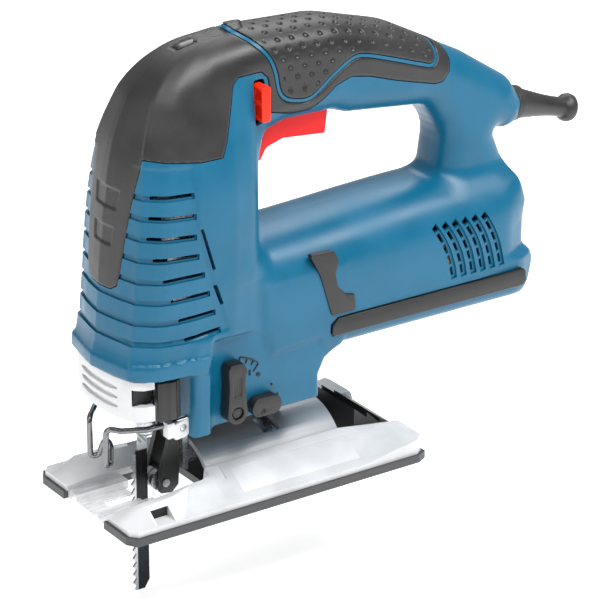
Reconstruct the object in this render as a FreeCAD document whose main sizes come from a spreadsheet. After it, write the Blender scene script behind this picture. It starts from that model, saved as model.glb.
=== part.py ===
import FreeCAD, Part
import math
import os
import re

# Jigsaw with a closed D-handle.  Millimetres.  +Z is up, the blade end points to -X and the tool's
# left side to -Y.  The origin is on the sole's underside, at mid-length of the sole, in the symmetry
# plane.  Every driving size is written once here and kept in the sheet "Sizes".
SIZES = {
    # overall
    "sole_length": 154.2, "sole_width": 80.4, "sole_thick": 3.5, "slot_half": 17.0, "slot_end": -22.0,
    "handle_top": 204.5, "head_half": 31.5, "barrel_half": 29.5, "handle_half": 17.5,
    "wall": 2.2, "skin": 1.4, "lip_low": 68.0, "neck_low": 38.7, "barrel_low": 60.0,
    # drive
    "motor_height": 89.0, "shaft_radius": 4.0, "running_gap": 0.05, "core_radius": 16.5,
    "stator_radius": 24.0, "pinion_teeth": 12, "gear_teeth": 48, "gear_spacing": 23.5,
    "gear_front": -24.0, "gear_thick": 9.0, "crank_radius": 13.0, "crank_pin_radius": 3.5,
    "bearing_radius": 11.0, "bearing_width": 8.0, "rear_bearing_radius": 9.0,
    # plunger and blade
    "plunger_place": -45.5, "plunger_radius": 3.5, "plunger_top": 140.0, "clamp_top": 47.0,
    "clamp_low": 30.0, "clamp_radius": 7.0, "blade_back": -45.1, "blade_width": 8.0,
    "blade_thick": 1.2, "blade_tip": -44.6, "tooth_pitch": 4.0,
    # guide roller and fork
    "roller_radius": 5.2, "roller_width": 6.4, "roller_height": 7.2, "fork_pivot_height": 60.0,
    "fork_pivot_place": -33.0, "fork_cheek": 2.8,
    # controls
    "lever_place": -19.0, "lever_height": 46.0, "lever_reach": 23.0, "knob_place": -3.0,
    "knob_height": 45.0, "trigger_half": 9.0, "wheel_radius": 11.0, "wheel_place": 138.5,
    "wheel_height": 104.0,
    # base
    "arch_radius": 25.5, "arch_wall": 2.5, "arch_front": -27.0, "arch_rear": 42.0,
    "guard_slot_half": 3.0, "guard_web": 1.2, "jaw_half": 5.5, "play": 0.4,
    # cable entry
    "cable_radius": 3.8, "boot_radius": 7.4, "boot_length": 40.0, "screw_radius": 1.25,
}

doc = FreeCAD.newDocument("jigsaw")
sheet = doc.addObject("Spreadsheet::Sheet", "Sizes")
for row, (alias, value) in enumerate(SIZES.items(), start=1):
    sheet.set("A%d" % row, alias)
    sheet.set("B%d" % row, str(value))
    sheet.setAlias("B%d" % row, alias)
doc.recompute()


class Values:
    """Reads the sheet's cells as plain numbers."""

    def __getattr__(self, alias):
        return float(sheet.get(alias))


S = Values()
PIECES = {}
AXIS_TURN = {
    "X": FreeCAD.Rotation(FreeCAD.Vector(0, 1, 0), 90),
    "Y": FreeCAD.Rotation(FreeCAD.Vector(1, 0, 0), -90),
    "Z": FreeCAD.Rotation(),
}


def formula(words):
    """Turns 'wall + 2' into an expression on the sheet's aliases."""
    return re.sub(r"[a-z_]+[a-z_0-9]*", lambda found: "Sizes." + found.group(0), str(words))


def bind(item, **sizes):
    for key, words in sizes.items():
        item.setExpression(key, formula(words))


def put(item, x, y, z):
    for key, words in zip("xyz", (x, y, z)):
        item.setExpression("Placement.Base." + key, formula(words))
    return item


def keep(node, item):
    """Marks a finished piece: its label is the node's and the file's name."""
    item.Label = node
    PIECES[node] = item
    return item


def box(name, x0, x1, y0, y1, z0, z1):
    item = doc.addObject("Part::Box", name)
    bind(item, Length="(%s) - (%s)" % (x1, x0), Width="(%s) - (%s)" % (y1, y0),
         Height="(%s) - (%s)" % (z1, z0))
    return put(item, x0, y0, z0)


def rod(name, axis, radius, x, y, z, length):
    item = doc.addObject("Part::Cylinder", name)
    item.Placement = FreeCAD.Placement(FreeCAD.Vector(), AXIS_TURN[axis])
    bind(item, Radius=radius, Height=length)
    return put(item, x, y, z)


def cut(name, base, *tools):
    for number, tool in enumerate(tools):
        item = doc.addObject("Part::Cut", "%s_cut%d" % (name, number))
        item.Base = base
        item.Tool = tool
        base = item
    return base


def fuse(name, *parts):
    item = doc.addObject("Part::MultiFuse", name)
    item.Shapes = list(parts)
    return item


def shaped(name, shape):
    item = doc.addObject("Part::Feature", name)
    item.Shape = shape
    return item


def prism(name, plane, points, low, high):
    """A padded sketch; low and high are the ends along the plane's normal axis (+X, +Y or +Z)."""
    body = doc.addObject("PartDesign::Body", name)
    sketch = body.newObject("Sketcher::SketchObject", name + "_sketch")
    support = [f for f in body.Origin.OriginFeatures if f.Role == plane + "_Plane"][0]
    sketch.AttachmentSupport = [(support, "")]
    sketch.MapMode = "FlatFace"
    start = "-(%s)" % high if plane == "XZ" else low
    sketch.setExpression("AttachmentOffset.Base.z", formula(start))
    corners = [FreeCAD.Vector(a, b, 0) for a, b in points]
    for a, b in zip(corners, corners[1:] + corners[:1]):
        sketch.addGeometry(Part.LineSegment(a, b), False)
    pad = body.newObject("PartDesign::Pad", name + "_pad")
    pad.Profile = sketch
    bind(pad, Length="(%s) - (%s)" % (high, low))
    return body


def mirrored(shape):
    return shape.mirror(FreeCAD.Vector(), FreeCAD.Vector(0, 1, 0))


def pair(name, item):
    """The piece and its mirror image across the symmetry plane, as two solids of one node."""
    doc.recompute()
    return shaped(name, Part.makeCompound([item.Shape, mirrored(item.Shape)]))


# ---------------------------------------------------------------- housing shape

def outline(points):
    corners = [FreeCAD.Vector(*p) for p in points]
    return Part.makePolygon(corners + corners[:1])


def grown(points, amount):
    """A face on the closed outline, moved outward by amount (inward if negative)."""
    wire = outline(points)
    if abs(amount) < 1e-9:
        return Part.Face(wire)
    return Part.Face(wire).makeOffset2D(amount, 2)


def side_points():
    top = S.handle_top
    return [(x, 0, z) for x, z in (
        (-71.5, S.lip_low), (-71.5, S.lip_low + 5), (-69, S.lip_low + 12), (-65.5, 116), (-61.5, 146),
        (-59, 160), (-54, top - 28.5), (-47.5, top - 17), (-38, top - 8.5), (-24, top - 3),
        (-6, top - 0.5), (15, top), (40, top - 1), (70, top - 8.5), (100, top - 22), (119, top - 31.5),
        (146, top - 48), (150.5, 150), (151.5, 141), (147, 135), (139, 133), (133, 135.5),
        (142, 112), (150, 99), (150, 90), (145.5, 81), (149, 75), (148, 69), (139, S.barrel_low),
        (36, S.barrel_low), (30, 56), (26.7, 50), (26.7, S.neck_low), (-38, S.neck_low),
        (-38, S.lip_low))]


def opening_points():
    return [(x, 0, z) for x, z in (
        (7, 118.5), (94, 118), (101, 123), (103, 133), (101, 145), (94, 151), (78, 155),
        (44, 160), (10, 160), (3.5, 150), (1.5, 136), (2.5, 122))]


def head_points():
    half = S.head_half
    left = [(28, S.neck_low), (28, S.lip_low + 3), (half, S.lip_low + 8), (half, 122), (half - 1.5, 150),
            (half - 5, 172), (half - 10.5, 188), (half - 20, S.handle_top - 5),
            (half - 27, S.handle_top)]
    return [(0, y, z) for y, z in left] + [(0, -y, z) for y, z in reversed(left)]


def rear_points():
    barrel = S.barrel_half
    grip = S.handle_half
    left = [(28, S.neck_low), (28, 56), (24, S.barrel_low), (barrel, 72), (barrel, 104), (25, 114),
            (grip + 3, 122), (grip, 134), (grip - 1.5, 152), (grip, 164), (grip, 184),
            (grip - 3, 194), (grip - 8, S.handle_top - 3), (4.5, S.handle_top)]
    return [(0, y, z) for y, z in left] + [(0, -y, z) for y, z in reversed(left)]


def plan_points():
    half = S.head_half + 1.5
    left = [(-71.5, 8), (-70, 18), (-66, half - 8), (-59, half - 2.5), (-50, half), (60, half),
            (118, S.barrel_half), (134, 25.5), (144, 18), (150, 9), (151.5, 4)]
    return [(x, -y, 0) for x, y in left] + [(x, y, 0) for x, y in reversed(left)]


HEAD_END = 8.0
REACH = 60.0


def hull(amount):
    """The housing's solid shape, grown by amount; the D-opening shrinks by the same amount."""
    side = grown(side_points(), amount)
    side.translate(FreeCAD.Vector(0, -REACH, 0))
    solid = side.extrude(FreeCAD.Vector(0, 2 * REACH, 0))
    head = grown(head_points(), amount)
    head.translate(FreeCAD.Vector(-100, 0, 0))
    front = head.extrude(FreeCAD.Vector(100 + HEAD_END + amount, 0, 0))
    rear = grown(rear_points(), amount)
    rear.translate(FreeCAD.Vector(HEAD_END - 3, 0, 0))
    back = rear.extrude(FreeCAD.Vector(200, 0, 0))
    plan = grown(plan_points(), amount)
    tall = plan.extrude(FreeCAD.Vector(0, 0, 260))
    hole = grown(opening_points(), -amount)
    hole.translate(FreeCAD.Vector(0, -REACH, 0))
    through = hole.extrude(FreeCAD.Vector(0, 2 * REACH, 0))
    return solid.common(front.fuse(back)).common(tall).cut(through).removeSplitter()


def slab(points, low, high):
    """A solid on an XZ outline between two y values."""
    face = Part.Face(outline([(x, low, z) for x, z in points]))
    return face.extrude(FreeCAD.Vector(0, high - low, 0))


def block(x0, x1, y0, y1, z0, z1):
    return Part.makeBox(x1 - x0, y1 - y0, z1 - z0, FreeCAD.Vector(x0, y0, z0))


def bar(axis, radius, x, y, z, length):
    direction = {"X": (1, 0, 0), "Y": (0, 1, 0), "Z": (0, 0, 1)}[axis]
    return Part.makeCylinder(radius, length, FreeCAD.Vector(x, y, z), FreeCAD.Vector(*direction))


SCREW_PLACES = ((-30, 165), (14, 53), (84, 172), (136, 72), (112, 140))
BOSS_RADIUS = 5.0
HEAD_RADIUS = 3.5
HEAD_SEAT = 8.0
SLOT_STARTS = ((-57, 150), (-57, 141), (-57, 132), (-56, 123), (-53, 114), (-50, 105), (-47, 96),
               (-45, 87))
SLOT_LENGTH = 18.0
SLOT_HEIGHT = 1.8
VENT_COLUMNS = 6
BOOT_TILT = 15.0
BOOT_ROOT = (146.0, 0.0, 143.5)


def boot_axis():
    angle = math.radians(BOOT_TILT)
    return FreeCAD.Vector(math.cos(angle), 0, -math.sin(angle))


def air_slots():
    """Cutters of the side slots in the head and the vent columns at the rear, on both sides."""
    cutters = [block(x, x + SLOT_LENGTH, -REACH, REACH, z - SLOT_HEIGHT / 2, z + SLOT_HEIGHT / 2)
               for x, z in SLOT_STARTS]
    for column in range(VENT_COLUMNS):
        left = 90 + 5.4 * column
        cutters.append(block(left, left + 2.4, -REACH, REACH, 82, 102))
    return cutters


def shell_openings():
    """Everything that is cut out of the shell apart from the air slots."""
    return [
        block(-64, -38.0 - S.wall, -24, 24, S.lip_low - 3, S.lip_low + 6),
        block(-40.5, -34, -22, 22, S.neck_low - 3, S.lip_low + 6),
        block(-36, 24, -13, 13, S.neck_low - 3, S.neck_low + 5),
        block(2.6, 46, -S.trigger_half - 1, S.trigger_half + 1, 144, 172),
        block(0.2, 10.8, -REACH, REACH, 164.2, 185.8),
        block(124, 156, -4.2, 4.2, S.wheel_height - 14, S.wheel_height + 14),
        Part.makeCylinder(S.boot_radius + S.play, 30, FreeCAD.Vector(*BOOT_ROOT) - boot_axis() * 12,
                          boot_axis()),
        bar("Y", 3.4, S.lever_place, -REACH, S.lever_height, REACH),
        bar("Y", 2.4, S.knob_place, -REACH, S.knob_height, REACH),
    ]


def housing_halves():
    outer = hull(0)
    inner = hull(-S.wall)
    shell = outer.cut(inner)
    bosses = [bar("Y", BOSS_RADIUS, x, -REACH, z, 2 * REACH) for x, z in SCREW_PLACES]
    shell = shell.fuse(outer.common(Part.makeCompound(bosses)))
    shell = shell.cut(shell_openings() + air_slots())
    wells = [bar("Y", HEAD_RADIUS + S.play, x, HEAD_SEAT, z, REACH) for x, z in SCREW_PLACES]
    holes = [bar("Y", S.screw_radius + S.running_gap, x, -10.0, z, REACH) for x, z in SCREW_PLACES]
    shell = shell.cut(wells + holes)
    left = shell.common(block(-120, 220, -REACH, 0, -10, 260))
    right = shell.common(block(-120, 220, 0, REACH, -10, 260))
    return biggest(left), biggest(right)


def biggest(shape):
    return max(shape.Solids, key=lambda solid: solid.Volume)


left_half, right_half = housing_halves()
keep("housing_left", shaped("housing_left", left_half))
keep("housing_right", shaped("housing_right", right_half))


def skins():
    """Soft and trim pieces moulded on the housing's outside, each a cut from one thin skin."""
    core = hull(0)
    skin = hull(S.skin).cut(core)
    skin = skin.cut([block(0.2, 10.8, -REACH, REACH, 164.2, 185.8)])
    top = S.handle_top
    nose = [(-90, 154), (-15, 158), (-15, top - 28.5), (-2, top - 15.5), (4, top + 10.5),
            (-90, top + 10.5)]
    chin = [(-90, 112), (-70, 110), (-64.5, 112), (-61, 130), (-58, 154.2), (-90, 154.2)]
    pad = [(6, top + 10.5), (-0.5, top - 15), (13, top - 15), (15, top - 26.5), (30, top - 29.5),
           (52, top - 16.5), (90, top - 26), (97, top - 14.5), (97, top + 10.5)]
    band = [(32, top - 34.5), (31, top - 39.5), (46, top - 29.5), (86, top - 40.5), (98, top - 44.5),
            (106, top - 34.5), (106, top - 16.5), (100, top - 16.5), (97.5, top - 27.5),
            (90, top - 28.5), (52, top - 19.5)]
    stripe = [(33, 66), (142, 66), (142, 73.5), (33, 73.5)]
    badge = [(20, 76.5), (46, 76.5), (46, 103), (20, 106)]
    whole = {"nose_grip": nose, "handle_pad": pad}
    pieces = {name: skin.common(slab(points, -REACH, REACH)) for name, points in whole.items()}
    tongue = skin.common(slab(chin, -24, 24))
    pieces["nose_grip"] = pieces["nose_grip"].fuse(tongue).removeSplitter()
    for name, points in {"handle_bands": band, "side_bumpers": stripe, "badge_plates": badge}.items():
        near = skin.common(slab(points, -REACH, -6))
        pieces[name] = Part.makeCompound([biggest(near), mirrored(biggest(near))])
    return pieces


for node, shape in skins().items():
    if node in ("nose_grip", "handle_pad"):
        shape = biggest(shape)
    keep(node, shaped(node, shape))

# ---------------------------------------------------------------- housing screws and cable entry

screw_list = []
for place, height in SCREW_PLACES:
    head = rod("screw_head", "Y", HEAD_RADIUS, place, HEAD_SEAT, height, 2.5)
    shank = rod("screw_shank", "Y", "screw_radius", place, -9.5, height, HEAD_SEAT + 9.5)
    socket = rod("screw_socket", "Y", 1.6, place, HEAD_SEAT + 1, height, 2)
    screw_list.append(cut("screw", fuse("screw_body", head, shank), socket))
doc.recompute()
keep("housing_screws", shaped("housing_screws", Part.makeCompound([s.Shape for s in screw_list])))


def boot():
    """Tapered cable boot with a round bead at its end, around the cable's bore."""
    axis = boot_axis()
    root = FreeCAD.Vector(*BOOT_ROOT) - axis * 2
    body = Part.makeCylinder(S.boot_radius, 6, root, axis)
    taper = Part.makeCone(S.boot_radius, S.cable_radius + 1.4, S.boot_length - 10, root + axis * 6, axis)
    bead = Part.makeCylinder(S.cable_radius + 2.9, 6, root + axis * (S.boot_length - 4), axis)
    bead = bead.makeFillet(2.0, bead.Edges)
    neck = Part.makeCylinder(S.cable_radius + 1.4, 3, root + axis * (S.boot_length - 6), axis)
    bore = Part.makeCylinder(S.cable_radius, S.boot_length + 10, root - axis * 2, axis)
    return body.fuse([taper, neck, bead]).cut(bore)


keep("cable_boot", shaped("cable_boot", boot()))
keep("terminal_block", box("terminal_block", 112, 124, -8, 8, 150, 162))
keep("cable_clamp", box("cable_clamp", 126, 132, -8, 8, 152.5, 155.5))

# ---------------------------------------------------------------- motor

keep("stator", cut("stator", rod("stator_ring", "X", "stator_radius", 40, 0, "motor_height", 40),
                   rod("stator_bore", "X", "core_radius + 0.5", 39, 0, "motor_height", 42)))
shaft_main = rod("shaft_main", "X", "shaft_radius", "gear_front + gear_thick + 0.5", 0,
                 "motor_height", "120 - gear_front - gear_thick - 0.5")
shaft_tip = rod("shaft_tip", "X", 2, "gear_front - 1", 0, "motor_height", "gear_thick + 2")
keep("motor_shaft", fuse("motor_shaft", shaft_main, shaft_tip))


def ring_on_shaft(node, radius, start, length):
    ring = rod(node + "_disc", "X", radius, start, 0, "motor_height", length)
    hole = rod(node + "_hole", "X", "shaft_radius", "(%s) - 1" % start, 0, "motor_height",
               "(%s) + 2" % length)
    return cut(node, ring, hole)


keep("armature_core", ring_on_shaft("armature_core", "core_radius", 42, 36))
keep("commutator", ring_on_shaft("commutator", 10, 88, 12))


def fan():
    """Centrifugal fan: a back disc, a hub and radial blades."""
    centre = S.motor_height
    disc = bar("X", 22.5, 28, 0, centre, 2).fuse(bar("X", 7, 19, 0, centre, 11))
    blade = block(19, 28.2, 6.5, 21.5, centre - 0.7, centre + 0.7)
    count = 12
    blades = []
    for number in range(count):
        vane = blade.copy()
        vane.rotate(FreeCAD.Vector(0, 0, centre), FreeCAD.Vector(1, 0, 0), 360 * number / count)
        blades.append(vane)
    return disc.fuse(blades).cut(bar("X", S.shaft_radius, 15, 0, centre, 20))


keep("cooling_fan", shaped("cooling_fan", fan()))


def toothed(teeth, pitch_radius, module, start, length, centre, turn, bore):
    """A spur gear on the X axis with straight-sided teeth and backlash."""
    tip = pitch_radius + 0.85 * module
    root = pitch_radius - 1.15 * module
    pitch = 2 * math.pi / teeth
    points = []
    for number in range(int(teeth)):
        middle = number * pitch + turn
        for offset, radius in ((-0.27, root), (-0.11, tip), (0.11, tip), (0.27, root)):
            angle = middle + offset * pitch
            points.append((start, radius * math.sin(angle), centre + radius * math.cos(angle)))
    wheel = Part.Face(outline(points)).extrude(FreeCAD.Vector(length, 0, 0))
    return wheel.cut(bar("X", bore, start - 1, 0, centre, length + 2))


MODULE = 2 * S.gear_spacing / (S.pinion_teeth + S.gear_teeth)
GEAR_HEIGHT = S.motor_height + S.gear_spacing
# A pinion tooth points straight up into the space between two gear teeth.
keep("pinion", shaped("pinion", toothed(S.pinion_teeth, MODULE * S.pinion_teeth / 2, MODULE,
                                        S.gear_front, S.gear_thick, S.motor_height, 0.0, 2.0)))
gear_turn = math.pi + math.pi / S.gear_teeth
keep("gear_wheel", shaped("gear_wheel", toothed(S.gear_teeth, MODULE * S.gear_teeth / 2, MODULE,
                                                S.gear_front, S.gear_thick, GEAR_HEIGHT, gear_turn,
                                                S.shaft_radius + S.running_gap)))
keep("crank_pin", rod("crank_pin", "X", "crank_pin_radius", "gear_front - 7", 0,
                      "motor_height + gear_spacing - crank_radius", 7))
keep("gear_axle", rod("gear_axle", "X", "shaft_radius", "gear_front - 3", 0,
                      "motor_height + gear_spacing", "-4 - (gear_front - 3)"))


def bearing(node, radius, start, width):
    ring = rod(node + "_ring", "X", radius, start, 0, "motor_height", width)
    hole = rod(node + "_hole", "X", "shaft_radius + running_gap", "(%s) - 1" % start, 0,
               "motor_height", "(%s) + 2" % width)
    return cut(node, ring, hole)


keep("front_bearing", bearing("front_bearing", "bearing_radius", -12, "bearing_width"))
keep("rear_bearing", bearing("rear_bearing", "rear_bearing_radius", 111, 7))
keep("rear_bearing_seat", cut("rear_bearing_seat",
                              rod("seat_disc", "X", "rear_bearing_radius + 6", 110, 0, "motor_height", 9),
                              rod("seat_bore", "X", "rear_bearing_radius", 111, 0, "motor_height", 20),
                              rod("seat_way", "X", "shaft_radius + 1", 105, 0, "motor_height", 20)))

holder = cut("holder", box("holder_block", 88.5, 99.5, 12.5, 23.5, "motor_height - 5", "motor_height + 5"),
             box("holder_pocket", 90.9, 97.1, 10, 26, "motor_height - 3.1", "motor_height + 3.1"))
keep("brush_holders", pair("brush_holders", holder))
keep("carbon_brushes", pair("carbon_brushes", box("brush_block", 91, 97, 10.3, 21, "motor_height - 3",
                                                  "motor_height + 3")))

# ---------------------------------------------------------------- gear case

PLATE_FRONT = -12
LUG_HALF = 9.2
plate = box("case_plate", PLATE_FRONT, "bearing_width - 12", -24, 24, 72, 142)
low_arm = box("case_low_arm", -54, PLATE_FRONT + 1, -13, 13, 74, 81)
top_arm = box("case_top_arm", -54, PLATE_FRONT + 1, -9, 9, 134.5, 141)
lug_near = box("case_lug_near", "fork_pivot_place - 5", "fork_pivot_place + 5", -13, -LUG_HALF,
               "fork_pivot_height - 5", 75)
lug_far = box("case_lug_far", "fork_pivot_place - 5", "fork_pivot_place + 5", LUG_HALF, 13,
              "fork_pivot_height - 5", 75)
keep("gear_case", cut("gear_case", fuse("gear_case_block", plate, low_arm, top_arm, lug_near, lug_far),
                      rod("case_bearing_bore", "X", "bearing_radius", -20, 0, "motor_height", 30),
                      rod("case_axle_bore", "X", "shaft_radius", -20, 0, "motor_height + gear_spacing", 30),
                      rod("case_bush_bore", "Z", "plunger_radius + 3", "plunger_place", 0, 60, 90),
                      rod("case_pin_bore", "Y", 2, "fork_pivot_place", -20, "fork_pivot_height", 40)))


def bush(node, low, high):
    return keep(node, cut(node, rod(node + "_tube", "Z", "plunger_radius + 3", "plunger_place", 0, low,
                                    high - low),
                          rod(node + "_hole", "Z", "plunger_radius + running_gap", "plunger_place", 0,
                              low - 1, high - low + 2)))


bush("lower_bushing", 74, 84)
bush("upper_bushing", 132.5, 139)
keep("fork_pin", rod("fork_pin", "Y", 2, "fork_pivot_place", -12.5, "fork_pivot_height", 25))

# ---------------------------------------------------------------- plunger, yoke, clamp and blade

keep("plunger_rod", rod("plunger_rod", "Z", "plunger_radius", "plunger_place", 0, "clamp_top",
                        "plunger_top - clamp_top"))
YOKE_MIDDLE = "motor_height + gear_spacing - crank_radius"
yoke_plate = box("yoke_plate", "plunger_place + 4", "gear_front - 8", -18.5, 18.5, YOKE_MIDDLE + " - 6",
                 YOKE_MIDDLE + " + 6")
yoke_hub = rod("yoke_hub", "Z", "plunger_radius + 3", "plunger_place", 0, YOKE_MIDDLE + " - 5", 10)
yoke_slot = box("yoke_slot", "plunger_place + 7", "gear_front", "-crank_radius - crank_pin_radius - 0.3",
                "crank_radius + crank_pin_radius + 0.3", YOKE_MIDDLE + " - crank_pin_radius - 0.2",
                YOKE_MIDDLE + " + crank_pin_radius + 0.2")
keep("scotch_yoke", cut("scotch_yoke", fuse("yoke_block", yoke_plate, yoke_hub), yoke_slot,
                        rod("yoke_bore", "Z", "plunger_radius", "plunger_place", 0, 80, 60)))
clamp_body = rod("clamp_body", "Z", "clamp_radius", "plunger_place", 0, "clamp_low",
                 "clamp_top - clamp_low")
clamp_slit = box("clamp_slit", "plunger_place - 10", "plunger_place + 1.0", "-blade_thick / 2",
                 "blade_thick / 2", "clamp_low - 1", "clamp_low + 12")
keep("blade_clamp", cut("blade_clamp", clamp_body, clamp_slit))


def blade():
    """T-shank wood blade: a shank, a straight back and raked teeth facing forward."""
    back = S.blade_back
    valley = back - S.blade_width + 1.7
    tip = back - S.blade_width
    top = S.clamp_low + 12
    teeth_top = 20.0
    points = [(back, top), (back, S.blade_tip + 4), (back - 2.5, S.blade_tip)]
    count = int((teeth_top - S.blade_tip) // S.tooth_pitch)
    points.append((tip + 1, S.blade_tip))
    for number in range(count):
        low = S.blade_tip + number * S.tooth_pitch
        points.append((valley, low + 0.4 * S.tooth_pitch))
        points.append((tip, low + 0.9 * S.tooth_pitch))
    shank_front = S.plunger_place - 4.0
    points += [(valley, teeth_top), (shank_front, teeth_top + 4), (shank_front, top)]
    return slab(points, -S.blade_thick / 2, S.blade_thick / 2)


keep("saw_blade", shaped("saw_blade", blade()))

# ---------------------------------------------------------------- orbital fork and guide roller

ROLLER_PLACE = "blade_back + roller_radius + 0.3"
FORK_INNER = 4.0
cheek_points = [(-42.0, 2.6), (-36.5, 1.8), (-33.2, 5.0), (-32.6, 14), (-32.6, 52), (-29.4, 56),
                (-29.4, 64), (-36.8, 64), (-36.8, 30), (-38.2, 24), (-41.6, 13)]
near_cheek = prism("near_cheek", "XZ", cheek_points, "-%s - fork_cheek" % FORK_INNER, -FORK_INNER)
far_cheek = prism("far_cheek", "XZ", cheek_points, FORK_INNER, "%s + fork_cheek" % FORK_INNER)
bridge = box("fork_bridge", -36.2, -32.6, -FORK_INNER - 0.5, FORK_INNER + 0.5, 26, 50)
roller_bore = rod("fork_roller_bore", "Y", 1.8, ROLLER_PLACE, -12, "roller_height", 24)
fork_bore = rod("fork_bore", "Y", "2 + running_gap", "fork_pivot_place", -12, "fork_pivot_height", 24)
keep("roller_fork", cut("roller_fork", fuse("fork_block", near_cheek, far_cheek, bridge), roller_bore,
                        fork_bore))
keep("roller_pin", rod("roller_pin", "Y", 1.8, ROLLER_PLACE, -7.3, "roller_height", 14.6))

def roller():
    """Guide roller with a running bore and a shallow groove for the blade's back."""
    centre = FreeCAD.Vector(S.blade_back + S.roller_radius + 0.3, 0, S.roller_height)
    disc = bar("Y", S.roller_radius, centre.x, -S.roller_width / 2, centre.z, S.roller_width)
    hollow = bar("Y", 1.8 + S.running_gap, centre.x, -10, centre.z, 20)
    groove = bar("Y", S.roller_radius + 1, centre.x, -0.9, centre.z, 1.8)
    groove = groove.cut(bar("Y", S.roller_radius - 0.5, centre.x, -2, centre.z, 4))
    return disc.cut([hollow, groove])


keep("guide_roller", shaped("guide_roller", roller()))

# ---------------------------------------------------------------- controls

LEVER_FACE = -35.5
LEVER_SEAT = -28.4
lever_hub = rod("lever_hub", "Y", 6.6, "lever_place", LEVER_FACE, "lever_height", LEVER_SEAT - LEVER_FACE)
lever_arm = box("lever_arm", "lever_place - 4.2", "lever_place + 4.2", LEVER_FACE, LEVER_SEAT, "lever_height",
                "lever_height + lever_reach")
lever_eye = rod("lever_eye", "Y", 3.4, "lever_place", LEVER_FACE - 1, "lever_height", 3)
keep("orbital_lever", cut("orbital_lever", fuse("lever_block", lever_hub, lever_arm), lever_eye))
keep("orbital_shaft", fuse("orbital_shaft",
                           rod("cam_shaft", "Y", 3, "lever_place", LEVER_SEAT, "lever_height", 34),
                           rod("cam_lobe", "Y", 4.2, "lever_place - 1.2", -6, "lever_height", 12)))
knob_core = box("knob_core", "knob_place - 3.8", "knob_place + 3.8", -34, LEVER_SEAT, "knob_height - 4.2",
                "knob_height + 4.2")
knob_front = rod("knob_front", "Y", 4.2, "knob_place - 3.8", -34, "knob_height", 5.6)
knob_back = rod("knob_back", "Y", 4.2, "knob_place + 3.8", -34, "knob_height", 5.6)
knob_stem = rod("knob_stem", "Y", 2, "knob_place", LEVER_SEAT - 1, "knob_height", 9)
keep("blower_knob", fuse("blower_knob", knob_core, knob_front, knob_back, knob_stem))

TRIGGER_PIVOT = (41, 170.2)
trigger_points = [(12.5, 162.5), (8.2, 155), (6.6, 148.6), (9.4, 148.2), (18.6, 155), (41, 152.6),
                  (43.5, 158), (44, 169), (38, 170), (20, 168.5)]
trigger_pad = prism("trigger_pad", "XZ", trigger_points, "-trigger_half", "trigger_half")
trigger_hub = rod("trigger_hub", "Y", 3.2, TRIGGER_PIVOT[0], "-trigger_half", TRIGGER_PIVOT[1],
                  "2 * trigger_half")
trigger_bore = rod("trigger_bore", "Y", "1.5 + running_gap", TRIGGER_PIVOT[0], -20, TRIGGER_PIVOT[1], 40)
keep("trigger", cut("trigger", fuse("trigger_block", trigger_pad, trigger_hub), trigger_bore))
keep("trigger_axle", rod("trigger_axle", "Y", 1.5, TRIGGER_PIVOT[0], -15, TRIGGER_PIVOT[1], 30))
keep("switch_block", box("switch_block", 22, 62, -9, 9, 175, 192))
keep("lock_slider", box("lock_slider", 0.6, 10.4, -25, 21, 164.6, 185.4))
wheel_disc = rod("wheel_disc", "Y", "wheel_radius", "wheel_place", -3.6, "wheel_height", 7.2)
wheel_hole = rod("wheel_hole", "Y", "1.5 + running_gap", "wheel_place", -5, "wheel_height", 10)
keep("speed_wheel", cut("speed_wheel", wheel_disc, wheel_hole))
keep("wheel_axle", rod("wheel_axle", "Y", 1.5, "wheel_place", -8, "wheel_height", 16))
keep("speed_module", box("speed_module", 121, 125, -14, 14, 78, 108))

# ---------------------------------------------------------------- front cover, guard and blade lever

COVER_LOW = 49.0
cover_plan = [(-56.5, 27), (-60.5, 26), (-65, 21), (-68, 13), (-69.2, 4)]


def cover():
    """U-shaped front cover with a window in each side and three louvres across its front."""
    ring = [(x, -y, COVER_LOW) for x, y in cover_plan] + [(x, y, COVER_LOW) for x, y in
                                                          reversed(cover_plan)]
    face = grown(ring, 0)
    outer = face.extrude(FreeCAD.Vector(0, 0, S.lip_low - 0.5 - COVER_LOW))
    inner = grown(ring, -S.wall).extrude(FreeCAD.Vector(0, 0, 40))
    open_back = block(-57.5 - S.wall, -50, -40, 40, COVER_LOW - 1, S.lip_low)
    sides = outer.cut(inner)
    window = block(-66, -59.5, -40, 40, 56, 63.5).cut(block(-80, -50, -19, 19, 40, 80))
    louvres = [block(-80, -62, -14, 14, z, z + 1.6) for z in (53, 57.2, 61.4)]
    return sides.cut([open_back.common(block(-60, -50, -24, 24, 0, 100)), window] + louvres)


keep("front_cover", shaped("front_cover", cover()))
bracket = box("bracket_block", -50.5, -38.8, -27, -22.5, 37, 47.5)
keep("guard_brackets", pair("guard_brackets", bracket))


def bent_wire(points, radius, bend):
    """Round wire along straight runs joined by tangent arcs."""
    path = [FreeCAD.Vector(*p) for p in points]
    edges = []
    here = path[0]
    for before, corner, after in zip(path, path[1:], path[2:]):
        inward = (before - corner).normalize()
        outward = (after - corner).normalize()
        half_turn = (math.pi - inward.getAngle(outward)) / 2
        room = 0.45 * min(before.distanceToPoint(corner), after.distanceToPoint(corner))
        back = min(bend * math.tan(half_turn), room)
        arc_radius = back / math.tan(half_turn)
        first = corner + inward * back
        last = corner + outward * back
        middle = (inward + outward).normalize()
        centre = corner + middle * (arc_radius / math.cos(half_turn))
        top = centre - middle * arc_radius
        edges.append(Part.LineSegment(here, first).toShape())
        edges.append(Part.Arc(first, top, last).toShape())
        here = last
    edges.append(Part.LineSegment(here, path[-1]).toShape())
    spine = Part.Wire(edges)
    circle = Part.Circle(path[0], path[1] - path[0], radius).toShape()
    return spine.makePipeShell([Part.Wire(circle)], True, False)


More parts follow.
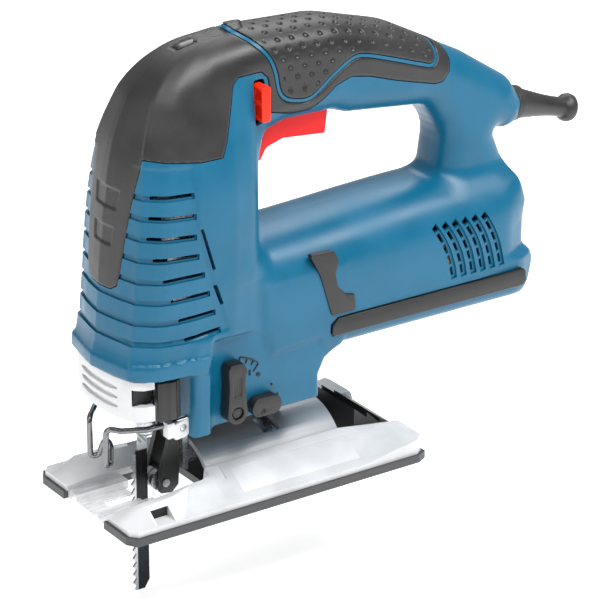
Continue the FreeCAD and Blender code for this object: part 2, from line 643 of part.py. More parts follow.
WIRE_RADIUS = 1.3
near_arm = [(-39.6, -25.3, 45.2), (-45, -24.4, 44.4), (-56.5, -20, 42.3), (-64.6, -12, 40.6),
            (-69, -6.9, 41.0), (-69.2, -6.6, 23.0), (-66.0, -5.2, 22.8), (-64.2, -2.6, 31.0)]
far_arm = [(x, -y, z) for x, y, z in reversed(near_arm)]
keep("wire_guard", shaped("wire_guard", bent_wire(near_arm + far_arm, WIRE_RADIUS, 3.5)))
keep("blade_release", box("blade_release", -55, -44.2, -29.2, -23.4, 48, 66))
keep("release_pin", rod("release_pin", "Z", 1.2, -45.8, -26.3, 66.3, 1.5))
keep("work_light", rod("work_light", "Z", 2.4, -32, -17, 50, 6))

# ---------------------------------------------------------------- base

HALF_LENGTH = S.sole_length / 2
HALF_WIDTH = S.sole_width / 2
KEY_PLACE = 8.0


def plate_plan(inset, slot, height):
    """U-shaped plan of the sole with cut corners and the blade slot open to the front."""
    length = HALF_LENGTH - inset
    width = HALF_WIDTH - inset
    left = [(-length, slot), (-length, width - 5), (-length + 3, width), (length - 5, width),
            (length, width - 2.7)]
    ring = [(x, -y, height) for x, y in left] + [(x, y, height) for x, y in reversed(left)]
    return ring + [(S.slot_end - 3, slot, height), (S.slot_end, slot - 3, height),
                   (S.slot_end, 3 - slot, height), (S.slot_end - 3, -slot, height)]


key_hole = bar("Z", 4, KEY_PLACE, 0, -1, S.sole_thick + 4)
shoe = Part.Face(outline(plate_plan(0, S.slot_half, 0))).extrude(FreeCAD.Vector(0, 0, S.sole_thick))
shoe = shoe.cut(key_hole)
keep("sole_shoe", shaped("sole_shoe", shoe))


def rail(points, start, end):
    """A rail on the near side: a YZ outline between two x values."""
    face = Part.Face(outline([(start, y, z) for y, z in points]))
    return face.extrude(FreeCAD.Vector(end - start, 0, 0))


def base_plate():
    """Cast plate: a floor, two rails with sloping outer faces, and the arch that tilts."""
    low = S.sole_thick
    edge = -HALF_WIDTH + 1.5
    radius = S.arch_radius
    inner = radius - S.arch_wall
    ridge = 19.0
    ridge_top = math.sqrt(radius ** 2 - ridge ** 2)
    floor = Part.Face(outline(plate_plan(1.5, S.slot_half, low))).extrude(FreeCAD.Vector(0, 0, 2.5))
    long_rail = rail([(edge, low), (edge, low + 2), (-ridge, ridge_top), (-ridge + 2.2, ridge_top - 2.2),
                      (-ridge + 2.2, low)], S.arch_front, S.arch_rear)
    tail_front = Part.makePolygon([FreeCAD.Vector(S.arch_rear, y, z) for y, z in
                                   ((edge, low), (edge, low + 2), (-ridge, ridge_top), (-ridge, low),
                                    (edge, low))])
    tail_end = Part.makePolygon([FreeCAD.Vector(HALF_LENGTH - 1.5, y, z) for y, z in
                                 ((edge, low), (edge, low + 8), (-ridge, low + 8), (-ridge, low),
                                  (edge, low))])
    tail = Part.makeLoft([tail_front, tail_end], True, True)
    toe_section = ((edge, low), (edge, low + 2), (-30, 12.5), (-26, 12.0), (-S.slot_half, 6.5),
                   (-S.slot_half, low))
    toe = rail(toe_section, -HALF_LENGTH + 13, S.arch_front)
    toe_end = [(edge, low), (edge, low + 1), (-30, low + 2.5), (-26, low + 2.5),
               (-S.slot_half, low + 2), (-S.slot_half, low)]
    toe_back = Part.makePolygon([FreeCAD.Vector(-HALF_LENGTH + 13, y, z) for y, z in
                                 toe_section + toe_section[:1]])
    toe_front = Part.makePolygon([FreeCAD.Vector(-HALF_LENGTH + 1.5, y, z) for y, z in
                                  toe_end + toe_end[:1]])
    nose = Part.makeLoft([toe_front, toe_back], True, True)
    window = block(-63, -54, -60, -10, low + 2.5, 10.6)
    near = long_rail.fuse([tail, toe, nose]).cut(window)
    trimmed = Part.Face(outline(plate_plan(1.5, S.slot_half, low))).extrude(FreeCAD.Vector(0, 0, 30))
    tube = bar("X", radius, S.arch_front, 0, 0, S.arch_rear - S.arch_front)
    tube = tube.cut(bar("X", inner, S.arch_front - 1, 0, 0, S.arch_rear - S.arch_front + 2))
    tube = tube.cut(block(-100, 100, -60, 60, -60, ridge_top - 2.5))
    notch_side = bar("X", radius + 5, 3, 0, 0, 9).common(block(0, 20, -15.5, 15.5, 15, 40))
    rails = near.fuse(mirrored(near)).common(trimmed)
    return floor.fuse([rails, tube]).cut([notch_side, key_hole]).removeSplitter()


keep("base_plate", shaped("base_plate", base_plate()))


def splinter_guard():
    """Clear insert between the toes: a thin web beside the blade and thicker side frames."""
    half = S.slot_half - S.play
    slot = S.guard_slot_half
    web = block(-HALF_LENGTH + 2, -51, -half, half, 0.3, 0.3 + S.guard_web)
    frame = block(-HALF_LENGTH + 2, -48.5, -half, -10, 0.3, 4.2)
    gap = block(-66, -50, -slot, slot, -1, 5)
    return web.fuse([frame, mirrored(frame)]).cut(gap)


keep("splinter_guard", shaped("splinter_guard", splinter_guard()))
DUCT_FRONT = 52
duct_points = [(DUCT_FRONT, 6.5), (73.5, 6.5), (73.5, 10), (66, 15), (66, 12.5), (59, 19.5), (59, 17),
               (DUCT_FRONT, 23)]
keep("dust_duct", prism("dust_duct", "XZ", duct_points, -18, 18))

ARCH_TOP = S.arch_radius + S.play
JAW_TOP = 33.0
JAW_SHOULDER = math.sqrt(ARCH_TOP ** 2 + S.jaw_half ** 2) + 0.9
LOW_JAW_TOP = S.arch_radius - S.arch_wall - 2.2
jaw_top = [(-S.jaw_half, JAW_TOP), (-S.jaw_half, JAW_SHOULDER), (-1.4, ARCH_TOP), (1.4, ARCH_TOP),
           (S.jaw_half, JAW_SHOULDER), (S.jaw_half, JAW_TOP)]
upper_jaw = prism("upper_jaw", "YZ", jaw_top, "arch_front - 3", 22)
web_part = box("jaw_web", "arch_front - 3", "arch_front - play", "-jaw_half", "jaw_half",
               LOW_JAW_TOP - 10.8, 31)
jaw_low = [(-1.5, LOW_JAW_TOP - 9.8), (-5, LOW_JAW_TOP - 6.3), (-5, LOW_JAW_TOP - 3.3),
           (-2, LOW_JAW_TOP), (2, LOW_JAW_TOP), (5, LOW_JAW_TOP - 3.3), (5, LOW_JAW_TOP - 6.3),
           (1.5, LOW_JAW_TOP - 9.8)]
lower_jaw = prism("lower_jaw", "YZ", jaw_low, "arch_front - 1", 20)
jaw_hole = rod("jaw_hole", "Z", 2, KEY_PLACE, 0, LOW_JAW_TOP - 15.8, 17)
keep("base_clamp", cut("base_clamp", fuse("clamp_block", upper_jaw, web_part, lower_jaw), jaw_hole))
tip = doc.addObject("Part::Cone", "clamp_screw_tip")
bind(tip, Radius1=2, Radius2=0.4, Height=1.7)
put(tip, KEY_PLACE, 0, LOW_JAW_TOP + 0.1)
keep("clamp_screw", cut("clamp_screw", fuse("clamp_screw_body", tip,
                                            rod("clamp_screw_shank", "Z", 2, KEY_PLACE, 0, LOW_JAW_TOP - 9.9, 10)),
                        rod("clamp_screw_socket", "Z", 1, KEY_PLACE, 0, LOW_JAW_TOP - 10.8, 3)))
guide_rails = box("guide_rails", -27.5, 24, -12, 12, 30.8, 40.5)
guide_way = box("guide_way", -40, 40, "-jaw_half - play", "jaw_half + play", 20, "33 + play")
keep("base_guide", cut("base_guide", guide_rails, guide_way))

# ---------------------------------------------------------------- check and write

doc.recompute()
for item in doc.Objects:
    if "Invalid" in item.State or "Error" in item.State:
        raise RuntimeError("failed object: " + item.Label)
os.makedirs("parts", exist_ok=True)
for node, item in PIECES.items():
    shape = item.Shape
    if shape.isNull() or not shape.isValid():
        raise RuntimeError("bad shape: " + node)
    if not shape.Solids:
        raise RuntimeError("no solid: " + node)
    shape.exportStep("parts/%s.step" % node)
print("pieces written:", len(PIECES))
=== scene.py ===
import bpy
import bmesh
import math
import numpy as np
from mathutils import Matrix, Vector


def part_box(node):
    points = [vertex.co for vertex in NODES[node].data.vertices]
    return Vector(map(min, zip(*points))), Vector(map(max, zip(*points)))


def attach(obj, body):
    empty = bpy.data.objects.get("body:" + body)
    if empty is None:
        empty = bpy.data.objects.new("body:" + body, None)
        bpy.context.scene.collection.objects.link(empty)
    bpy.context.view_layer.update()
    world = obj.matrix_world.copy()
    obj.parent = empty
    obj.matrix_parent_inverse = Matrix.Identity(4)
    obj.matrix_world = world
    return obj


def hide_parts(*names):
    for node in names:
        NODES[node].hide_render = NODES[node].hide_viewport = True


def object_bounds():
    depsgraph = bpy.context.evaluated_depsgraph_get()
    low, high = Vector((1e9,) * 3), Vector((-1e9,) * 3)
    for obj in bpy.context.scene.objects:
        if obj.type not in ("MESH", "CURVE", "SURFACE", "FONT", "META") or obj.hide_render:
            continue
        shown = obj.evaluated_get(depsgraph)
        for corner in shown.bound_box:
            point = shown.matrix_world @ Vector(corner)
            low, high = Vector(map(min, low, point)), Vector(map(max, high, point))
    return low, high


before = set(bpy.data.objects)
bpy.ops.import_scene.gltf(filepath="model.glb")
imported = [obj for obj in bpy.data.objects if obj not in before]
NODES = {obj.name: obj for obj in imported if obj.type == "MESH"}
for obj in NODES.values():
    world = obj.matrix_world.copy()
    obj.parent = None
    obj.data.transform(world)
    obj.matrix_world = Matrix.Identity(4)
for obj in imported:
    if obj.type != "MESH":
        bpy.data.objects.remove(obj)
CAD_BOX = [list(corner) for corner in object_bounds()]
MM = 0.001

# The looks of a corded jigsaw. Shapes are worked out in millimetres in the part's own frame (front -X,
# the tool's left side -Y, +Z up) and turned into metres where a mesh is made. Outlines are lists of
# corners in the plane they are named for; a third number on a corner is its own rounding radius.

# ------------------------------------------------------------------ shader trees


class Wire:
    """A value inside a material's tree; arithmetic on it adds Math nodes."""

    def __init__(self, paint, socket):
        self.paint = paint
        self.socket = socket

    def math(self, operation, *values):
        made = self.paint.node("ShaderNodeMath", {"operation": operation}, dict(enumerate(values)))
        return Wire(self.paint, made.outputs[0])

    def __add__(self, other):
        return self.math("ADD", self, other)

    def __sub__(self, other):
        return self.math("SUBTRACT", self, other)

    def __rsub__(self, other):
        return self.math("SUBTRACT", other, self)

    def __mul__(self, other):
        return self.math("MULTIPLY", self, other)

    def fit(self, low, high, first=0.0, last=1.0):
        """Eased from first to last as the value goes from low to high."""
        made = self.paint.node("ShaderNodeMapRange", {"interpolation_type": "SMOOTHSTEP"},
                               {0: self, 1: low, 2: high, 3: first, 4: last})
        return Wire(self.paint, made.outputs[0])

    __radd__ = __add__
    __rmul__ = __mul__


def linear(colour):
    """A colour given as red, green and blue from 0 to 255, as the shader wants it."""
    parts = [c / 255 for c in colour]
    return tuple(c / 12.92 if c <= 0.04045 else ((c + 0.055) / 1.055) ** 2.4 for c in parts) + (1.0,)


class Paint:
    """One material: its tree, its shader and the way to add nodes to it."""

    def __init__(self, name, **constants):
        self.material = bpy.data.materials.new(name)
        self.material.use_nodes = True
        self.tree = self.material.node_tree
        self.shader = self.tree.nodes["Principled BSDF"]
        for key, value in constants.items():
            self.shader.inputs[key.replace("_", " ")].default_value = value
        self.place = Wire(self, self.node("ShaderNodeTexCoord").outputs["Object"])

    def plug(self, socket, value):
        if isinstance(value, Wire):
            self.tree.links.new(value.socket, socket)
        else:
            socket.default_value = value

    def node(self, kind, settings=None, sockets=None):
        made = self.tree.nodes.new(kind)
        for key, value in (settings or {}).items():
            setattr(made, key, value)
        for key, value in (sockets or {}).items():
            self.plug(made.inputs[key], value)
        return made

    def noise(self, scale, detail=2.0, stretch=(1.0, 1.0, 1.0), roughness=0.5):
        """Noise with that many features per metre, about 0.5 in the middle."""
        spot = self.node("ShaderNodeMapping", {}, {"Vector": self.place, "Scale": stretch})
        made = self.node("ShaderNodeTexNoise", {}, {"Vector": Wire(self, spot.outputs[0]), "Scale": scale,
                                                    "Detail": detail, "Roughness": roughness})
        return Wire(self, made.outputs["Fac"])

    def axis(self, name):
        made = self.node("ShaderNodeSeparateXYZ", {}, {0: self.place})
        return Wire(self, made.outputs[name])

    def edges(self):
        made = self.node("ShaderNodeNewGeometry")
        return Wire(self, made.outputs["Pointiness"])

    def blend(self, share, first, second):
        """A colour between two colours."""
        made = self.node("ShaderNodeMix", {"data_type": "RGBA"}, {0: share, 6: first, 7: second})
        return Wire(self, made.outputs[2])

    def colour(self, value):
        self.plug(self.shader.inputs["Base Color"], value)

    def rough(self, value):
        self.plug(self.shader.inputs["Roughness"], value)

    def bump(self, height, distance, strength=1.0):
        made = self.node("ShaderNodeBump", {}, {"Strength": strength, "Distance": distance, "Height": height})
        self.plug(self.shader.inputs["Normal"], Wire(self, made.outputs[0]))


def moulded(name, colour, rough=0.4, grain=0.00003, grain_scale=2600.0, shift=0.16, shine=0.5, edge_highlight=0.0):
    """Moulded plastic or rubber: fine grain, slight cloudiness and a painted highlight that lightens its edges.
    """
    paint = Paint(name, Specular_IOR_Level=shine)
    base = linear(colour)
    lighter = tuple(min(1.0, c * (1 + shift) + 0.004) for c in base[:3]) + (1.0,)
    darker = tuple(c * (1 - shift) for c in base[:3]) + (1.0,)
    cloud = paint.noise(38.0, 3.0)
    speck = paint.noise(grain_scale, 2.0)
    tint = paint.blend(cloud.fit(0.35, 0.65), darker, lighter)
    # Painted highlight: convex edges are mixed towards a lighter colour, as if they caught the light.
    if edge_highlight:
        edge = paint.edges().fit(0.52, 0.62) * edge_highlight
        tint = paint.blend(edge, tint, tuple(min(1.0, c * 1.5 + 0.03) for c in base[:3]) + (1.0,))
    paint.colour(tint)
    paint.rough(cloud.fit(0.3, 0.7, rough - 0.05, rough + 0.05) + (speck - 0.5) * 0.12)
    paint.bump(speck, grain)
    return paint.material


def metal(name, colour, rough=0.3, brushed=None, metallic=1.0, bump=0.00001, stain=0.12):
    """Bare or plated metal; brushed is the stretch of its scratches along X, Y and Z."""
    paint = Paint(name, Metallic=metallic, Specular_IOR_Level=0.5)
    base = linear(colour)
    dull = tuple(c * (1 - 2 * stain) for c in base[:3]) + (1.0,)
    cloud = paint.noise(60.0, 4.0)
    lines = paint.noise(900.0, 3.0, brushed or (1.0, 1.0, 1.0), 0.6)
    paint.colour(paint.blend(cloud.fit(0.3, 0.75) * 0.6 + lines.fit(0.4, 0.7) * 0.4, base, dull))
    paint.rough(lines.fit(0.3, 0.7, rough - 0.07, rough + 0.09))
    paint.bump(lines, bump)
    return paint.material


BLUE = moulded("housing_blue", (0, 90, 122), rough=0.36, grain=0.000035, shift=0.05, shine=0.36, edge_highlight=0.15)
RUBBER = moulded("grip_rubber", (34, 34, 35), rough=0.42, grain=0.00006, grain_scale=1900.0, edge_highlight=0.15)
TRIM = moulded("trim_black", (15, 15, 16), rough=0.42, grain=0.00003, edge_highlight=0.35)
RED = moulded("trigger_red", (224, 0, 6), rough=0.38, grain=0.000015, shift=0.05, shine=0.25)
ORANGE = moulded("lock_orange", (242, 36, 0), rough=0.36, grain=0.000012, shift=0.05, shine=0.25)
WHITE = moulded("cover_white", (204, 205, 206), rough=0.45, grain=0.00003, shift=0.03)
# Near-black: the colour of dark print and parts, and also painted shade for the dark sheets in the cover's
# windows and the base's toe notches.
DARK_AND_SHADE = moulded("dark_and_painted_shade", (14, 15, 16), rough=0.6, grain=0.00002)
FAN = moulded("fan_plastic", (34, 36, 38), rough=0.45)
GLOSS = moulded("lamp_dark", (22, 22, 24), rough=0.12, grain=0.00001)
CARBON = moulded("carbon_block", (20, 20, 22), rough=0.6)
STEEL = metal("steel_turned", (190, 192, 196), rough=0.3)
CHROME = metal("wire_chrome", (120, 121, 123), rough=0.22, brushed=(1, 1, 0.05), stain=0.05)
SILVER = metal("arch_silver", (176, 178, 180), rough=0.42, metallic=0.55, brushed=(0.02, 1, 1), stain=0.08,
               bump=0.000008)
BRASS = metal("brass_turned", (190, 150, 80), rough=0.35)
CASE = metal("case_cast", (150, 152, 155), rough=0.5, metallic=0.8, bump=0.00006)
SHOE = moulded("shoe_dark", (46, 47, 49), rough=0.5, grain=0.00003, edge_highlight=0.3)


def cast_white():
    """Light painted casting: a satin coat over sand-cast texture, with painted shade in the corners."""
    paint = Paint("plate_cast", Metallic=0.0, Specular_IOR_Level=0.5, Coat_Weight=0.15, Coat_Roughness=0.3)
    sand = paint.noise(700.0, 4.0)
    cloud = paint.noise(45.0, 3.0)
    edge = paint.edges()
    tint = paint.blend(cloud.fit(0.35, 0.7), linear((208, 209, 211)), linear((192, 193, 195)))
    # Painted shade: hollow corners (low pointiness) are darkened where shade would fall.
    tint = paint.blend(edge.fit(0.47, 0.40) * 0.35, tint, linear((150, 151, 153)))
    paint.colour(tint)
    paint.rough(sand.fit(0.3, 0.7, 0.3, 0.46))
    paint.bump(sand, 0.00005)
    return paint.material


CAST = cast_white()


def clear_guard():
    """Clear moulded insert, slightly clouded by scratches."""
    paint = Paint("clear_guard", Specular_IOR_Level=0.5, IOR=1.49, Transmission_Weight=0.0)
    scratch = paint.noise(800.0, 3.0, (0.1, 1.0, 1.0))
    cloud = paint.noise(120.0, 2.0)
    paint.colour(paint.blend(cloud.fit(0.35, 0.7), linear((222, 224, 226)), linear((196, 199, 202))))
    paint.rough(scratch.fit(0.3, 0.7, 0.12, 0.3))
    paint.plug(paint.shader.inputs["Alpha"], scratch.fit(0.3, 0.75, 0.42, 0.6))
    paint.bump(scratch, 0.00001)
    return paint.material


CLEAR = clear_guard()

# ------------------------------------------------------------------ mesh tools


def finish_mesh(name, mesh, material, body, soft=40.0):
    """Links a mesh in metres as a piece that rides on a body."""
    mesh.validate()
    item = bpy.data.objects.new(name, mesh)
    bpy.context.scene.collection.objects.link(item)
    mesh.materials.clear()
    mesh.materials.append(material)
    mesh.polygons.foreach_set("material_index", [0] * len(mesh.polygons))
    mesh.shade_smooth()
    mesh.set_sharp_from_angle(angle=math.radians(soft))
    if body:
        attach(item, body)
    return item


def raw_mesh(name, points, faces):
    mesh = bpy.data.meshes.new(name)
    mesh.from_pydata([tuple(c * MM for c in p) for p in points], [], faces)
    return mesh


def loose(name, points, faces):
    """A mesh object used as a cutter or a blank, in metres; it rides on nothing."""
    item = bpy.data.objects.new(name, raw_mesh(name, points, faces))
    bpy.context.scene.collection.objects.link(item)
    return item


def drop(*items):
    for item in items:
        bpy.data.objects.remove(item)


def mesh_of(item, name):
    """Takes the mesh out of a finished blank and names it."""
    mesh = item.data
    drop(item)
    mesh.name = name
    return mesh


def baked(item):
    """Applies the object's modifiers."""
    graph = bpy.context.evaluated_depsgraph_get()
    mesh = bpy.data.meshes.new_from_object(item.evaluated_get(graph))
    item.modifiers.clear()
    item.data = mesh
    return item


def carve(item, tool, operation="DIFFERENCE", solver="MANIFOLD"):
    """Cuts, joins or meets an object with a tool, and uses the tool up."""
    change = item.modifiers.new("carve", "BOOLEAN")
    change.operation = operation
    change.solver = solver
    change.object = tool
    baked(item)
    drop(tool)
    return item


def rounded(points, radius, steps=4):
    """A closed 2D outline with its corners turned into arcs."""
    made = []
    count = len(points)
    for number, corner in enumerate(points):
        before = Vector(points[number - 1][:2])
        here = Vector(corner[:2])
        after = Vector(points[(number + 1) % count][:2])
        reach = corner[2] if len(corner) > 2 else radius
        inward = (before - here).normalized()
        outward = (after - here).normalized()
        half = math.acos(max(-1.0, min(1.0, inward.dot(outward)))) / 2
        if reach <= 0 or half > 1.5:
            made.append(tuple(here))
            continue
        back = min(reach / math.tan(half), 0.48 * (before - here).length, 0.48 * (after - here).length)
        arc = back * math.tan(half)
        middle = here + (inward + outward).normalized() * (arc / math.sin(half))
        first = here + inward * back - middle
        last = here + outward * back - middle
        turn = first.angle_signed(last)
        for step in range(steps + 1):
            spoke = first.copy()
            spoke.rotate(Matrix.Rotation(-turn * step / steps, 2))
            made.append(tuple(middle + spoke))
    return made


PLANES = {"XZ": (0, 2, 1), "YZ": (1, 2, 0), "XY": (0, 1, 2)}


def prism_data(points, plane, low, high):
    """Points and faces of an outline raised from low to high along the plane's normal."""
    a, b, c = PLANES[plane]
    area = sum(p[0] * q[1] - q[0] * p[1] for p, q in zip(points, points[1:] + points[:1]))
    if (area < 0) != (plane == "XZ"):
        points = points[::-1]
    count = len(points)
    made = []
    for level in (low, high):
        for p in points:
            spot = [0.0, 0.0, 0.0]
            spot[a], spot[b], spot[c] = p[0], p[1], level
            made.append(tuple(spot))
    faces = [tuple(range(count))[::-1], tuple(range(count, 2 * count))]
    for n in range(count):
        m = (n + 1) % count
        faces.append((n, m, m + count, n + count))
    return made, faces


def joined(*solids):
    points, faces = [], []
    for more, ring in solids:
        base = len(points)
        points += list(more)
        faces += [tuple(base + n for n in face) for face in ring]
    return points, faces


def brick(x0, x1, y0, y1, z0, z1):
    return prism_data([(x0, z0), (x1, z0), (x1, z1), (x0, z1)], "XZ", y0, y1)


def moved(solid, change):
    return [tuple(change @ Vector(p)) for p in solid[0]], solid[1]


def mirrored(solid):
    return [(x, -y, z) for x, y, z in solid[0]], [face[::-1] for face in solid[1]]


def round_bar(axis, radius, centre, low, high, count=24):
    """A round bar along X, Y or Z; centre holds the other two values."""
    plane = {"X": "YZ", "Y": "XZ", "Z": "XY"}[axis]
    ring = [(centre[0] + radius * math.cos(2 * math.pi * n / count),
             centre[1] + radius * math.sin(2 * math.pi * n / count)) for n in range(count)]
    return prism_data(ring, plane, low, high)


def bevelled(item, width, segments=3, angle=35.0):
    edge = item.modifiers.new("soft_edges", "BEVEL")
    edge.width = width * MM
    edge.segments = segments
    edge.limit_method = "ANGLE"
    edge.angle_limit = math.radians(angle)
    edge.harden_normals = False
    edge.miter_outer = "MITER_ARC"
    return item


def piece(name, solid, material, body, edge=0.0, replaces=(), soft=40.0, segments=3, cuts=()):
    """A finished piece from a solid's points and faces."""
    item = loose(name + "_blank", *solid)
    for tool in cuts:
        carve(item, loose(name + "_tool", *tool), solver="EXACT")
    if edge:
        bevelled(item, edge, segments)
        baked(item)
    made = finish_mesh(name, mesh_of(item, name), material, body, soft)
    if replaces:
        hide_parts(*replaces)
    return made


def loft(rings, closed_ends=True):
    """Joins rings of equal length with faces."""
    count = len(rings[0])
    points = [p for ring in rings for p in ring]
    faces = []
    for level in range(len(rings) - 1):
        for n in range(count):
            m = (n + 1) % count
            a, b = level * count, (level + 1) * count
            faces.append((a + n, a + m, b + m, b + n))
    if closed_ends:
        faces.append(tuple(range(count))[::-1])
        faces.append(tuple(range((len(rings) - 1) * count, len(rings) * count)))
    return points, faces


def turned(profile, place, axis, count=48):
    """A solid of revolution; profile runs from axis to axis as (along, radius)."""
    axis = Vector(axis).normalized()
    side = axis.orthogonal().normalized()
    other = axis.cross(side)
    rings = []
    for along, radius in profile:
        ring = []
        for n in range(count):
            angle = 2 * math.pi * n / count
            ring.append(tuple(Vector(place) + axis * along
                              + (side * math.cos(angle) + other * math.sin(angle)) * max(radius, 1e-4)))
        rings.append(ring)
    return loft(rings)


# ------------------------------------------------------------------ the housing's shape as a distance


def outline_distance(points, x, z):
    """Signed distance to a closed outline, negative inside."""
    nearest = None
    inside = None
    for (ax, az), (bx, bz) in zip(points, points[1:] + points[:1]):
        ex, ez = bx - ax, bz - az
        px, pz = x - ax, z - az
        along = np.clip((px * ex + pz * ez) / (ex * ex + ez * ez), 0, 1)
        gap = (px - ex * along) ** 2 + (pz - ez * along) ** 2
        nearest = gap if nearest is None else np.minimum(nearest, gap)
        crosses = ((az > z) != (bz > z)) & (px < ex * pz / (ez if ez else 1e-9))
        inside = crosses if inside is None else inside ^ crosses
    return np.where(inside, -1.0, 1.0) * np.sqrt(nearest)


def soft_max(a, b, k):
    h = np.maximum(k - np.abs(a - b), 0) / k
    return np.maximum(a, b) + h * h * k * 0.25


def soft_min(a, b, k):
    return -soft_max(-a, -b, k)


def table(z, rows):
    return np.interp(z, [r[0] for r in rows], [r[1] for r in rows])


def ease(value):
    share = np.clip(value, 0, 1)
    return share * share * (3 - 2 * share)


def curve(points, per_span=6):
    """A smooth line through points (Catmull-Rom)."""
    made = []
    spots = [np.array(p, float) for p in points]
    spots = [2 * spots[0] - spots[1]] + spots + [2 * spots[-1] - spots[-2]]
    for n in range(1, len(spots) - 2):
        for step in range(per_span):
            t = step / per_span
            a, b, c, d = spots[n - 1:n + 3]
            made.append(tuple(0.5 * (2 * b + (c - a) * t + (2 * a - 5 * b + 4 * c - d) * t * t
                                     + (3 * b - a - 3 * c + d) * t ** 3)))
    made.append(tuple(spots[-2]))
    return made


# The head: where its front stands and how wide it is at each height, its plan, and its side view.
PROW = curve(((60, -71.5), (72.5, -71.5), (75, -70.6), (80, -69.2), (90, -68.2), (104, -66.6),
              (116, -65.6), (135, -63.4), (154, -60.6), (166, -57.8), (176, -54.0), (183, -50.4),
              (187, -47.4), (191, -43.4), (196, -36.5), (200, -28.0), (203, -17.0), (204.5, 0.0),
              (208, 14.0)))
BREADTH = curve(((38, 32.6), (72, 33.2), (75, 32.6), (80, 31.4), (122, 31.4), (140, 30.6), (150, 29.4),
                 (160, 27.2), (168, 24.8), (176, 22.2), (188, 17.6), (196, 13.0), (201, 9.0),
                 (204.5, 3.5), (208, 0.8)))
PLAN_FRONT, PLAN_REAR, PLAN_HALF = -71.5, 4.4, 31.4
PLAN = rounded([(-71.3, -8.0), (PLAN_FRONT, 0.0), (-70.6, 6.0, 20), (-67.2, 22.5, 3), (-57.5, 29.6, 14),
                (-40.0, PLAN_HALF, 24), (-20.0, PLAN_HALF, 14), (-7.0, 28.6, 12), (1.0, 20.5, 8),
                (4.2, 12.0, 6), (PLAN_REAR, 0.0), (PLAN_REAR, -8.0)], 0.0, 3)
HEAD_SIDE = [(-95, 68), (-34.5, 68), (-30, 80.6), (-1.5, 79.6), (2.5, 66.5), (26.5, 69), (45, 69),
             (45, 230), (-95, 230)]
HEAD_TOP = 204.9
THINNEST = 0.8

# The motor barrel, with the neck and flange below the head.
FLANGE_HALF, NECK_HALF = 32.2, 28.0
FLANGE = [(-38.2, 38.7), (-32.5, 38.7), (-31.5, 82), (-38.2, 82)]
NECK = [(-38.2, 38.7), (26.7, 38.7), (26.8, 50), (30, 56.5), (38, 61.5), (40, 100), (-38.2, 100)]
BARREL_SIDE = [(-1.5, 79.6), (2.5, 66.5), (26.0, 68.0), (30.5, 61.5), (36, 59.6), (139, 59.6), (145.5, 65),
               (148.6, 72), (149.3, 76), (145.6, 81.5), (147.0, 86), (150.4, 91), (150.0, 97.5), (146.0, 105),
               (140, 116), (128, 128), (-1.5, 128)]
BARREL_PLAN = rounded([(-30, -8), (-30, 31, 0), (104, 31, 30), (128, 28.4, 16), (142, 20.5, 12),
                       (149.6, 10, 8), (151.4, 0, 0), (151.4, -8, 0)], 0.0, 3)
MOTOR_HEIGHT, BARREL_HALF, BARREL_DROP = 89.3, 30.2, 29.9
BARREL_ROOF, ROOF_CLIMB, CLIMB_LENGTH = 25.4, 4.5, 105

# The closed handle: its outer line, the hand opening and its half breadth along the tool.
UPPER = rounded([(-30, 100, 0), (-45.5, 183, 6), (-37.5, 194.8, 20), (-22, 202.4, 30), (2, 204.7, 30),
                 (44, 203.3, 40), (78, 194.2, 40), (119, 173.4, 40), (143.5, 157.6, 10), (151.2, 145.5, 5),
                 (147.8, 135.8, 6), (139.4, 133.6, 5), (133.8, 136.4, 1.5), (138.6, 124.5, 8),
                 (143.2, 112, 8), (148, 103, 2), (140, 92, 2)], 0.0, 3)
OPENING = rounded([(0.4, 98, 0), (0.2, 136, 20), (2.0, 152, 10), (10, 158.8, 6), (19, 161.4, 4),
                   (43.5, 161.2, 4), (52, 158.2, 8), (94, 153.4, 8), (104.0, 141, 14), (101.5, 124, 10),
                   (97, 98, 0)], 0.0, 3)
TUBE_BREADTH = ((-46, 17.0), (-20, 18.6), (40, 17.6), (84, 16.2), (104, 14.2), (130, 14.6), (142, 14.5),
                (152, 12.5))
TUBE_DEPTH, TUBE_POWER = 13.5, 2.3

# The raised panel that carries the air slots on each side of the head.
PANEL = [(-82, 84), (-21.6, 84), (-25.2, 95), (-30.8, 112.6), (-36.0, 132.6), (-36.4, 158.6), (-82, 161.0)]
PANEL_RISE = 0.7


